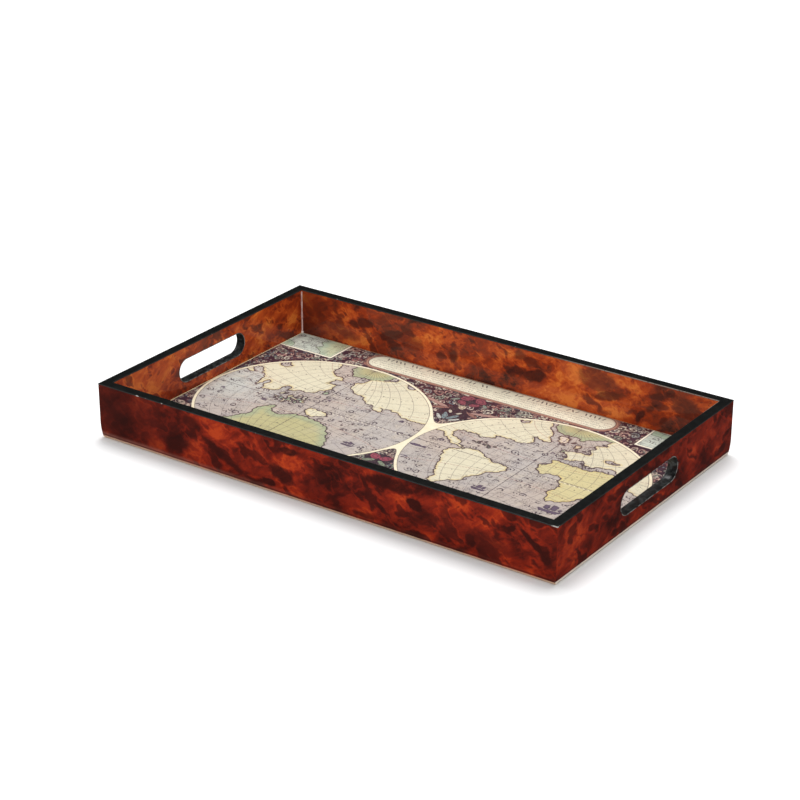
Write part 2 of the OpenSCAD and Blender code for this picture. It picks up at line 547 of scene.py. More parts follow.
def placed_figure(bench, sheet_place, ragged, wall, rows):
    """The strongest of the placed marks at each point; wall is the marked wall's stretch."""
    total = 0.0
    for along, height, half_long, half_high, lean, strength, soft in rows:
        mapped = bench.node(
            "ShaderNodeMapping", {"vector_type": "TEXTURE"},
            {"Vector": sheet_place, "Location": (along + wall, height, 0.0),
             "Rotation": (0.0, 0.0, math.radians(lean)), "Scale": (half_long, half_high, 1e5)},
        )
        out = bench.vector_math("LENGTH", mapped, output=1) + ragged
        mark = bench.step(out, 1.1 + soft, 0.9 - soft) * strength
        total = bench.math("MAXIMUM", total, mark)
    return total


def burl_finish(name, tones, seed, wall, dark_rows, bright_rows, foot=False):
    """Burl veneer under gloss lacquer: flakes and dark leaf shapes in a flaming red ground."""
    dark, brown, body, bright, flame = tones
    bench = Bench(name)
    on_long = (HALF_WIDTH / MM - abs(bench.y)) < (HALF_LENGTH / MM - abs(bench.x))
    long_sheet = ((bench.y > 0.0) * 2.0 - 1.0) * LONG_SHEET + bench.x
    end_sheet = ((bench.x > 0.0) * 2.0 - 1.0) * END_SHEET + bench.y
    along = on_long * long_sheet + (1.0 - on_long) * end_sheet
    flat = bench.join(along, bench.z - FIGURE_FOOT)
    drifted = bench.warp(flat, 26.0, 6.0, seed)
    torn = bench.warp(bench.warp(drifted, 8.0, 2.4, seed + 3.0, 3.0), 2.2, 0.55, seed + 4.0, 3.0)

    def leaning(vector, degrees, stretch):
        """Turned to a lean, and squeezed across it, so that what it carries is drawn out."""
        return bench.node(
            "ShaderNodeMapping", {"vector_type": "TEXTURE"},
            {"Vector": vector, "Location": (seed * 7.0, seed * 3.0, 0.0),
             "Rotation": (0.0, 0.0, math.radians(degrees)), "Scale": (stretch, 1.0, 1.0)},
        )

    # Ground: clouds of flame, drawn out aslant.
    cloud = bench.noise(leaning(torn, 32.0, 1.6), 17.0, 4.0, 0.54, seed)
    swell = bench.noise(leaning(drifted, -20.0, 1.5), 42.0, 2.0, 0.5, seed + 5.0)
    tone = (cloud - 0.5) * 1.9 + (swell - 0.5) * 1.1 + 0.455
    # Dark islands, large and small, with a lit shore round the large ones.
    large = bench.noise(leaning(torn, -24.0, 1.7), 14.0, 3.0, 0.52, seed + 9.0)
    small = bench.noise(leaning(torn, 20.0, 1.5), 6.5, 3.0, 0.55, seed + 10.0)
    islands = bench.math(
        "MAXIMUM", bench.step(large, 0.455, 0.405) * 0.70, bench.step(small, 0.360, 0.315) * 0.54,
    )
    shore = bench.band(large, 0.485, 0.008, 0.040)
    ragged = bench.noise(flat, 5.5, 3.0, 0.55, seed + 8.0) - 0.5
    bent = bench.warp(bench.warp(flat, 11.0, 2.2, seed + 3.0), 3.0, 0.9, seed + 4.0, 3.0)
    # On the front wall the placed dark rows include painted shade over its left end.
    placed_dark = placed_figure(bench, bent, ragged * 0.9, wall, dark_rows)
    placed_bright = placed_figure(bench, bent, ragged * 1.6, wall, bright_rows)
    # Fibres run aslant, and smoke drifts over the dark figure.
    fibres = bench.noise(leaning(drifted, 38.0, 9.0), 0.8, 3.0, 0.62, seed + 2.0) - 0.5
    streaks = bench.noise(leaning(drifted, 30.0, 6.0), 3.2, 3.0, 0.55, seed + 7.0) - 0.5
    grain = bench.noise(torn, 1.5, 4.0, 0.65, seed + 12.0) - 0.5
    tone = tone + shore * 0.16 + fibres * 0.22 + streaks * 0.42 + grain * 0.22 + placed_bright * 0.26
    wood = bench.ramp(tone, [
        (0.02, dark), (0.22, brown), (0.46, body), (0.70, bright), (0.98, flame),
    ])
    murk = bench.mix(bench.step(grain + streaks, -0.25, 0.35) * 0.5, dark, brown)
    shade = bench.math("MAXIMUM", islands * (1.0 - placed_bright), placed_dark)
    shade = shade * (0.96 + fibres * 0.4 + grain * 0.5 + streaks * 0.6)
    wood = bench.mix(shade, wood, murk)
    specks = dust(bench, 17.0, 0.42, 0.45, seed)
    wood = bench.mix(specks * 0.5, wood, (0.55, 0.46, 0.40))
    peel = bench.noise(bench.place, 5.5, 2.0, 0.5, 1.0)
    fine = bench.noise(bench.place, 0.35, 2.0, 0.5, 2.0)
    if foot:
        # A pale band round the foot is painted reflection of the floor, with a dark line just above it.
        uneven = bench.noise(bench.place, 9.0, 4.0, 0.6, 4.0) - 0.5
        foot_height = bench.z - (1.0 - on_long) * 0.9
        floor_glint = bench.step(foot_height + uneven * 1.0, 2.7, 2.1)
        line = bench.band(foot_height, 3.7, 0.3, 0.5)
        # Low on the outer walls, most at the front wall's left end, a pink tint is painted reflection of the
        # floor.
        floor_sheen = bench.step(bench.z + uneven * 3.0, 8.0, 2.5)
        far_left = bench.step(bench.x, 40.0, -190.0) * bench.step(bench.y, -110.0, -140.0)
        floor_sheen = floor_sheen * (far_left * 0.34 + 0.05)
        wood = bench.mix(floor_sheen, wood, (0.46, 0.20, 0.15))
        wood = bench.mix(line * 0.7, wood, dark)
        # The painted reflection is lighter on the end walls than on the long walls.
        floor_glint_tint = bench.mix(on_long, (0.90, 0.80, 0.68), (0.56, 0.38, 0.26))
        wood = bench.mix(floor_glint * 0.9, wood, floor_glint_tint)
    gloss = bench.step(bench.noise(bench.place, 30.0, 3.0, 0.5, 6.0), 0.35, 0.75)
    normal = bench.bump(peel + fine * 0.06, 0.10, 0.0004)
    return bench.finish(
        Base_Color=wood, Roughness=0.46 - gloss * 0.10, IOR=1.45,
        Specular_IOR_Level=0.08, Coat_Weight=0.45, Coat_Roughness=0.05, Coat_IOR=1.4, Normal=normal,
    )


def black_finish(tones):
    """Satin black lacquer with a painted highlight along its arrises, small chips and fine dust."""
    bench = Bench("black lacquer")
    cloudy = bench.noise(bench.place, 6.0, 4.0, 0.6, 2.0)
    tint = bench.mix(bench.step(cloudy, 0.42, 0.72), tones.black, [c * 2.0 for c in tones.black])
    # Distance in from the outer face, along whichever wall is nearer.
    from_end = HALF_LENGTH / MM - abs(bench.x)
    from_side = HALF_WIDTH / MM - abs(bench.y)
    depth = bench.math("MINIMUM", from_end, from_side)
    edge = bench.math("MINIMUM", abs(depth), abs(depth - WALL / MM))
    along = bench.noise(bench.place, 11.0, 3.0, 0.6, 9.0)
    nick = bench.noise(bench.place, 2.2, 3.0, 0.6, 5.0)
    reach = bench.step(along, 0.60, 0.72) * bench.step(nick, 0.52, 0.62)
    on_rim = bench.step(bench.z, SKIN_TOP / MM - 0.3, SKIN_TOP / MM)
    # A knock on the near right corner, and one a tenth of the way along the front.
    for knock_x, spread in ((HALF_LENGTH / MM - 1.5, 4.2), (-HALF_LENGTH / MM + 46.0, 2.2)):
        gap = abs(bench.x - knock_x) + abs(bench.y + HALF_WIDTH / MM) * 2.0 + (nick - 0.5) * 6.0
        reach = bench.math("MAXIMUM", reach, bench.step(gap, spread, spread - 1.5))
    chips = bench.step(edge, 0.65, 0.25) * reach * on_rim
    # Along the back wall's right half the inner arris is painted as a pale hairline.
    hairline = bench.step(abs(depth - WALL / MM), 0.55, 0.20) * bench.step(bench.y, 100.0, 120.0)
    hairline = hairline * bench.step(bench.x, 20.0, 110.0) * bench.step(nick, 0.30, 0.50)
    # Both arrises of the rim are lightened grey: a painted highlight.
    arris_highlight = bench.step(edge, 0.40, 0.05) * on_rim
    tint = bench.mix(arris_highlight * 0.35, tint, (0.07, 0.072, 0.07))
    tint = bench.mix(hairline * 0.7, tint, (0.30, 0.23, 0.19))
    tint = bench.mix(chips * 0.85, tint, (0.42, 0.40, 0.37))
    tint = bench.mix(dust(bench, 8.0, 0.26, 0.5, 3.0) * 0.5, tint, (0.30, 0.31, 0.31))
    smear = bench.noise(bench.place, 2.6, 4.0, 0.65, 8.0)
    rough = 0.34 + (smear - 0.5) * 0.30
    normal = bench.bump(bench.noise(bench.place, 1.3, 3.0, 0.6, 3.0) - chips * 0.6, 0.22, 0.0003)
    return bench.finish(
        Base_Color=tint, Roughness=rough, Specular_IOR_Level=0.09,
        Coat_Weight=0.04, Coat_Roughness=0.18, Normal=normal,
    )


def lining_finish(tones):
    """Black lacquer brushed inside a slot: mottled sheen over hand-smoothed wood."""
    bench = Bench("slot lining lacquer")
    mottled = bench.noise(bench.warp(bench.place, 7.0, 3.0, 1.0), 4.2, 4.0, 0.62, 3.0)
    tint = bench.mix(bench.step(mottled, 0.45, 0.68), tones.black, (0.048, 0.054, 0.053))
    lip = bench.step(
        abs(bench.math("ABSOLUTE", bench.x) - (HALF_LENGTH - WALL / 2) / MM), WALL / MM / 2 - 0.35,
        WALL / MM / 2 - 0.02,
    )
    # The lip's arrises are painted a paler grey in patches.
    lip_patches = bench.noise(bench.place, 4.0, 3.0, 0.6, 7.0)
    tint = bench.mix(lip * bench.step(lip_patches, 0.35, 0.60) * 0.6, tint, (0.36, 0.35, 0.33))
    normal = bench.bump(mottled + 0.3 * bench.noise(bench.place, 0.9, 2.0, 0.5, 4.0), 0.35, 0.0005)
    return bench.finish(
        Base_Color=tint, Roughness=0.32 + mottled * 0.2, Specular_IOR_Level=0.28,
        Coat_Weight=0.15, Coat_Roughness=0.14, Normal=normal,
    )


def board_finish():
    """Sealed fibreboard: tiny flakes, and a dark stain that reached the bare edges."""
    bench = Bench("sealed fibreboard")
    flakes = bench.noise(bench.place, 0.5, 3.0, 0.7, 1.0)
    cloud = bench.noise(bench.place, 22.0, 3.0, 0.5, 2.0)
    tint = bench.mix(flakes, (0.022, 0.012, 0.008), (0.060, 0.032, 0.018))
    tint = bench.mix(bench.step(cloud, 0.45, 0.75) * 0.5, tint, (0.11, 0.060, 0.034))
    return bench.finish(
        Base_Color=tint, Roughness=0.62 + flakes * 0.2,
        Normal=bench.bump(flakes, 0.35, 0.0003),
    )


def bead_finish():
    """Pooled lacquer along a corner, painted pale in streaks, with a painted highlight at its foot."""
    bench = Bench("corner bead lacquer")
    height = bench.z
    streak = bench.noise(bench.join(bench.x * 2.0, bench.y * 2.0, height * 0.16), 1.0, 3.0, 0.6, 3.0)
    # Pale streaks run up the bead.
    blotch = bench.step(streak, 0.30, 0.62)
    tint = bench.mix(blotch, (0.33, 0.12, 0.10), (0.80, 0.58, 0.55))
    # White at the foot, over the drop, is a painted highlight.
    foot = bench.step(height, FLOOR_MM + 2.2, FLOOR_MM + 0.6)
    tint = bench.mix(foot, tint, (0.92, 0.86, 0.80))
    normal = bench.bump(streak, 0.25, 0.0003)
    return bench.finish(
        Base_Color=tint, Roughness=0.22, Coat_Weight=0.6, Coat_Roughness=0.05, Normal=normal,
    )


def nail_finish():
    """Drawn steel wire, brushed along its length and a little dulled."""
    bench = Bench("nail steel")
    drawn = bench.noise(bench.join(bench.x * 3.0, bench.y * 0.3, bench.z * 3.0), 1.0, 3.0, 0.6, 1.0)
    tint = bench.mix(drawn, (0.36, 0.35, 0.34), (0.62, 0.61, 0.60))
    return bench.finish(
        Base_Color=tint, Metallic=1.0, Roughness=0.26 + drawn * 0.2,
        Normal=bench.bump(drawn, 0.2, 0.0001),
    )


def felt_finish(tones):
    """Dense felt: matted fibres with a faint nap."""
    bench = Bench("felt")
    matted = bench.noise(bench.warp(bench.place, 1.6, 0.9, 2.0), 0.45, 4.0, 0.7, 1.0)
    patches = bench.noise(bench.place, 26.0, 3.0, 0.5, 4.0)
    tint = bench.mix(bench.step(matted, 0.30, 0.72), tones.felt, [c * 2.6 for c in tones.felt])
    tint = bench.mix(bench.step(patches, 0.45, 0.8) * 0.35, tint, [c * 3.6 for c in tones.felt])
    lint = dust(bench, 9.0, 0.3, 0.4, 5.0)
    tint = bench.mix(lint * 0.6, tint, (0.25, 0.25, 0.24))
    return bench.finish(
        Base_Color=tint, Roughness=0.94, Sheen_Weight=0.35, Sheen_Roughness=0.4,
        Normal=bench.bump(matted, 0.6, 0.0005),
    )


# ---------------------------------------------------------------- the chart's drawing

# Layout, in mm from the chart's centre. Outlines are in OUTLINE_UNIT, about a hundredth of a
# globe's half width, from their globe's centre.
OUTLINE_UNIT = 1.132
GLOBE_X = 114.3
GLOBE_Y = 0.8
GLOBE_HALF_X = 111.8
GLOBE_HALF_Y = 100.4
# Width of the ring round a globe.
RING = 3.1
# The polar axis's tilt in degrees, which places the tropics and polar circles.
TILT = 23.44
SHEET_X = CHART_HIGH.x / MM
SHEET_Y = CHART_HIGH.y / MM
INSET_X = SHEET_X - 62.5
INSET_Y = SHEET_Y - 36.5
TITLE_Y = 122.8
TITLE_HALF_X = 121.5
TITLE_R = 13.4
# Widths of a title mark's column and of a row of fine marks.
MARK_PITCH = 4.7
ROW_PITCH = 4.1
# The farthest off a coast that the drawing measures.
FAR = 12.0

CREAM = (0.64, 0.59, 0.44)
OLIVE = (0.38, 0.37, 0.205)
SAND = (0.57, 0.50, 0.27)
MINT = (0.42, 0.55, 0.44)
BLUSH = (0.60, 0.50, 0.43)
MOSS = (0.30, 0.34, 0.25)

LEFT_LANDS = (
    (CREAM, (
        (-30, 115), (-33, 84), (-28, 78), (-30, 71), (-25, 65), (-20, 61), (-12, 60), (-8, 56),
        (-17, 55), (-17, 49), (-19, 45), (-13, 46), (-8, 48), (-9, 43), (-7, 38), (-10, 32),
        (-14, 27), (-15, 22), (-20, 20), (-27, 21), (-33, 16), (-37, 14), (-37, 21), (-41, 23),
        (-44, 17), (-45, 9), (-50, 7), (-56, 6), (-60, 12), (-58, 19), (-61, 23), (-63, 16),
        (-65, 9), (-68, 17), (-69, 25), (-72, 30), (-78, 36), (-82, 41), (-92, 42), (-120, 44),
        (-120, 115),
    )),
    (CREAM, ((-120, 37), (-98, 36), (-88, 35), (-81, 31), (-88, 29), (-120, 29))),
    (OLIVE, (
        (-20, 115), (-17, 87), (-19, 81), (-13, 74), (-9, 69), (-2, 70), (5, 71), (12, 72),
        (18, 75), (21, 80), (24, 87), (30, 115),
    )),
    (CREAM, (
        (33, 115), (27, 85), (28, 79), (22, 77), (14, 74), (8, 71), (7, 66), (5, 61), (1, 57),
        (3, 50), (9, 45), (12, 41), (20, 41), (26, 35), (31, 31), (38, 31), (41, 27), (46, 23),
        (51, 22), (52, 25), (47, 30), (55, 31), (62, 30), (68, 27), (74, 24), (82, 23),
        (90, 24), (120, 22), (120, 115),
    )),
    (CREAM, (
        (1, -3), (4, -2), (12, -2), (18, -4), (22, -9), (18, -11), (11, -16), (8, -15),
        (4, -13), (0, -10),
    )),
    (OLIVE, (
        (-115, -118), (-75, -75), (-62, -66), (-52, -60), (-47, -56), (-42, -51), (-39, -46),
        (-35, -41), (-34, -36), (-36, -30), (-35, -24), (-32, -20), (-30, -16), (-27, -14),
        (-24, -16), (-25, -21), (-22, -25), (-17, -27), (-12, -26), (-7, -22), (-2, -18),
        (5, -18), (12, -20), (20, -20), (28, -22), (35, -27), (42, -34), (47, -42), (50, -50),
        (52, -58), (56, -64), (66, -70), (80, -76), (115, -118),
    )),
    (MOSS, ((-9, 30), (-6, 31), (-4, 28), (-5, 25), (-9, 26))),
)
LEFT_WATERS = (
    ((-78, 58), (-74, 61), (-69, 62), (-64, 58), (-67, 53), (-73, 53)),
    ((38, 81), (44, 79), (50, 76), (47, 74), (42, 76)),
)
RIGHT_LANDS = (
    (CREAM, (
        (-27, 115), (-25, 86), (-22, 77), (-16, 71), (-13, 66), (-11, 60), (-8, 54), (-13, 52),
        (-18, 54), (-21, 56), (-25, 55), (-21, 52), (-19, 46), (-21, 42), (-26, 40), (-33, 41),
        (-40, 40), (-46, 41), (-50, 40), (-48, 37), (-53, 34), (-58, 30), (-61, 33), (-68, 34),
        (-76, 34), (-80, 32), (-81, 27), (-79, 22), (-73, 20), (-68, 17), (-65, 13), (-65, 10),
        (-60, 8), (-57, 5), (-60, 6), (-64, 7), (-69, 8), (-73, 9), (-76, 13), (-80, 16),
        (-84, 17), (-86, 21), (-89, 23), (-93, 22), (-120, 25), (-120, 115),
    )),
    (CREAM, (
        (-66, 1), (-62, 3), (-58, 5), (-53, 9), (-48, 9), (-42, 8), (-37, 4), (-33, 2),
        (-28, 0), (-24, -2), (-18, -1), (-13, -2), (-10, -6), (-9, -9), (-12, -14), (-15, -17),
        (-20, -19), (-21, -24), (-22, -28), (-26, -31), (-29, -36), (-28, -41), (-33, -45),
        (-38, -49), (-42, -53), (-46, -57), (-52, -55), (-52, -50), (-50, -46), (-54, -41),
        (-58, -33), (-60, -27), (-62, -21), (-66, -16), (-66, -10), (-69, -5), (-68, 0),
    )),
    (SAND, (
        (10, 27), (12, 22), (10, 18), (6, 17), (7, 12), (10, 6), (13, 3), (18, 4), (24, 6),
        (30, 5), (33, 4), (32, -1), (36, -4), (39, -8), (38, -14), (36, -17), (37, -24),
        (39, -31), (43, -35), (46, -32), (51, -31), (56, -27), (60, -22), (64, -15), (68, -8),
        (71, -2), (76, 4), (84, 9), (80, 14), (76, 18), (72, 26), (64, 31), (56, 31), (48, 30),
        (40, 27), (32, 28), (25, 28), (18, 28),
    )),
    (CREAM, ((79, 20), (84, 15), (92, 11), (120, 8), (120, 40), (76, 31))),
    (CREAM, (
        (12, 33), (17, 37), (14, 42), (10, 47), (16, 50), (24, 51), (29, 51), (27, 57),
        (23, 65), (26, 70), (33, 72), (31, 77), (36, 84), (42, 115), (120, 115), (120, 36),
        (80, 34), (70, 37), (62, 35), (55, 39), (48, 37), (42, 33), (36, 32), (33, 37),
        (30, 40), (24, 36), (18, 34),
    )),
    (OLIVE, (
        (-21, 115), (-20, 86), (-16, 78), (-12, 74), (-5, 72), (0, 73), (4, 74), (9, 70),
        (13, 70), (17, 75), (23, 79), (30, 81), (36, 84), (41, 115),
    )),
    (BLUSH, ((-8, 68), (-3, 70), (2, 67), (4, 61), (-1, 57), (-5, 60))),
    (BLUSH, ((12, 61), (15, 63), (17, 58), (14, 54), (12, 56))),
    (OLIVE, (
        (-115, -118), (-70, -76), (-56, -68), (-40, -62), (-24, -66), (-8, -61), (8, -63),
        (26, -69), (44, -65), (62, -72), (115, -118),
    )),
)
RIGHT_WATERS = (
    ((-50, 77), (-48, 74), (-44, 73), (-41, 76), (-42, 79), (-46, 76)),
    ((44, 50), (50, 52), (58, 50), (52, 47), (47, 47)),
    ((20, 58), (24, 55), (28, 62), (25, 67), (22, 63)),
)
# Each group of islets: globe, middle, half spread, how many, and the greatest size.
ISLET_GROUPS = (
    (-1, (-26, 4), (15, 11), 46, 2.9),
    (-1, (45, -14), (16, 7), 10, 1.0),
    (1, (-50, 21), (12, 6), 16, 1.8),
    (1, (-27, 45), (6, 4), 9, 1.8),
    (1, (19, 46), (14, 10), 26, 1.9),
    (1, (1, 63), (9, 9), 12, 2.0),
    (1, (40, 66), (16, 12), 12, 1.6),
    (1, (36, 34), (8, 3), 7, 1.3),
)
# Corner insets, in mm in from a corner of the sheet along each side.
INSET_LANDS = (
    (-1, ((29, -4), (36, 4), (31, 9), (38, 15), (33, 22), (41, 27), (47, 33), (70, 44), (70, -4))),
    (-1, ((-4, 22), (7, 24), (12, 30), (8, 42), (-4, 42))),
    (1, ((66, -4), (60, 8), (48, 12), (40, 8), (30, 14), (18, 12), (10, 17), (-4, 15), (-4, -4))),
    (1, ((38, 24), (28, 22), (22, 27), (30, 32))),
)
# Small vessels: globe, middle, size and facing.
VESSELS = (
    (-1, (76, 18), 0.50, 1), (-1, (-41, -11), 0.62, -1), (-1, (66, -41), 1.05, 1),
    (-1, (4, 18), 0.3, 1), (-1, (-84, -11), 0.4, 1), (1, (-10, -46), 1.15, -1),
    (1, (-81, 9), 0.5, 1), (1, (-73, -20), 0.42, -1), (1, (53, -46), 1.7, 1), (1, (4, 38), 0.42, 1),
)
VESSEL_PARTS = (
    ((-7, 0.6), (-5.4, -2.4), (4.6, -2.6), (7.2, 1.4), (4.4, 0.1), (-4.2, -0.1)),
    ((-4.4, 0.7), (-4.9, 4.4), (-2.0, 4.8), (-1.4, 0.8)),
    ((-0.6, 0.8), (-1.0, 6.2), (2.9, 5.4), (2.7, 0.8)),
    ((3.6, 0.8), (4.1, 3.6), (5.9, 3.2), (5.4, 1.4)),
)
FISHES = ((1, (-91, -10), 1.15, 1), (1, (-88, -31), 0.5, -1), (-1, (-7, -6), 0.4, 1))
FISH_PARTS = (
    ((-8, 0), (-4, 1.7), (1, 1.9), (5, 0.8), (9.5, 2.4), (8.0, 0), (9.6, -2.2), (5, -0.9), (0, -2.0),
     (-4, -1.7)),
)


class Drawing:
    """Signed distance to drawn shapes, in mm, on the grid of the chart's points; inside is above 0."""

    def __init__(self, xs, ys):
        self.xs = xs
        self.ys = ys
        self.reach = np.full((len(ys), len(xs)), -FAR)
        self.tint = np.zeros((len(ys), len(xs), 3))

    def distance(self, points):
        """Signed distance to one closed outline."""
        near = np.full(self.reach.shape, FAR)
        inside = np.zeros(self.reach.shape, dtype=bool)
        for (ax, ay), (bx, by) in zip(points, points[1:] + points[:1]):
            left = np.searchsorted(self.xs, min(ax, bx) - FAR)
            right = np.searchsorted(self.xs, max(ax, bx) + FAR)
            low = np.searchsorted(self.ys, min(ay, by) - FAR)
            high = np.searchsorted(self.ys, max(ay, by) + FAR)
            if left < right and low < high:
                px = self.xs[None, left:right] - ax
                py = self.ys[low:high, None] - ay
                dx = bx - ax
                dy = by - ay
                share = np.clip((px * dx + py * dy) / max(dx * dx + dy * dy, 1e-9), 0, 1)
                gap = np.hypot(px - share * dx, py - share * dy)
                block = near[low:high, left:right]
                np.minimum(block, gap, out=block)
            if ay != by:
                first = np.searchsorted(self.ys, min(ay, by))
                last = np.searchsorted(self.ys, max(ay, by))
                for row in range(first, last):
                    crossing = ax + (self.ys[row] - ay) / (by - ay) * (bx - ax)
                    inside[row] ^= self.xs > crossing
        return np.where(inside, near, -near)

    def add(self, points, tint=(0.0, 0.0, 0.0)):
        """Joins a shape on; points near it take its colour."""
        found = self.distance(points)
        wins = found > self.reach
        self.reach[wins] = found[wins]
        self.tint[wins] = tint

    def carve(self, points):
        """Takes a shape away."""
        self.reach = np.minimum(self.reach, -self.distance(points))


def coastline(points, jag, draw, levels=3):
    """Breaks the straight edges of an outline up as a coast does."""
    for _ in range(levels):
        broken = []
        for (ax, ay), (bx, by) in zip(points, points[1:] + points[:1]):
            swing = draw.uniform(-jag, jag)
            broken.append((ax, ay))
            broken.append(((ax + bx) / 2 - (by - ay) * swing, (ay + by) / 2 + (bx - ax) * swing))
        points = broken
    return points


def on_globe(globe, points):
    """Outline points of one globe as places on the chart, in mm."""
    return [(globe * GLOBE_X + u * OUTLINE_UNIT, GLOBE_Y + v * OUTLINE_UNIT) for u, v in points]


def draw_lands(xs, ys):
    """The lands of both globes and of the four corner insets."""
    draw = random.Random(1589)
    lands = Drawing(xs, ys)
    for globe, outlines in ((-1, LEFT_LANDS), (1, RIGHT_LANDS)):
        for tint, outline in outlines:
            lands.add(coastline(on_globe(globe, outline), 0.24, draw), tint)
    for globe, outlines in ((-1, LEFT_WATERS), (1, RIGHT_WATERS)):
        for outline in outlines:
            lands.carve(coastline(on_globe(globe, outline), 0.2, draw, 2))
    for globe, (u, v), (wide, high), count, size in ISLET_GROUPS:
        for _ in range(count):
            turn = draw.uniform(0, math.tau)
            away = math.sqrt(draw.random())
            centre = (u + wide * away * math.cos(turn), v + high * away * math.sin(turn))
            radius = draw.uniform(0.35, 1.0) * size
            lean = draw.uniform(0, math.pi)
            ring = []
            for k in range(7):
                a = math.tau * k / 7
                out = radius * draw.uniform(0.6, 1.25)
                across = out * math.cos(a)
                up = out * math.sin(a) * 0.6
                ring.append((
                    centre[0] + across * math.cos(lean) - up * math.sin(lean),
                    centre[1] + across * math.sin(lean) + up * math.cos(lean),
                ))
            lands.add(on_globe(globe, ring), draw.choice((CREAM, MINT, MOSS, BLUSH)))
    insets = Drawing(xs, ys)
    for end, outline in INSET_LANDS:
        for way in (1, -1):
            placed = [(end * (SHEET_X - a), way * (SHEET_Y - b)) for a, b in outline]
            insets.add(coastline(placed, 0.2, draw), MINT if way > 0 else OLIVE)
    in_inset = (np.abs(xs)[None, :] > INSET_X - 1) & (np.abs(ys)[:, None] > INSET_Y - 1)
    lands.reach = np.where(in_inset, insets.reach, lands.reach)
    lands.tint = np.where(in_inset[..., None], insets.tint, lands.tint)
    return lands


def draw_vessels(xs, ys):
    """Small vessels and fishes on the seas."""
    vessels = Drawing(xs, ys)
    for group, parts in ((VESSELS, VESSEL_PARTS), (FISHES, FISH_PARTS)):
        for globe, (u, v), size, facing in group:
            cx, cy = on_globe(globe, [(u, v)])[0]
            for part in parts:
                vessels.add([(cx + facing * size * a, cy + size * b) for a, b in part])
    return vessels


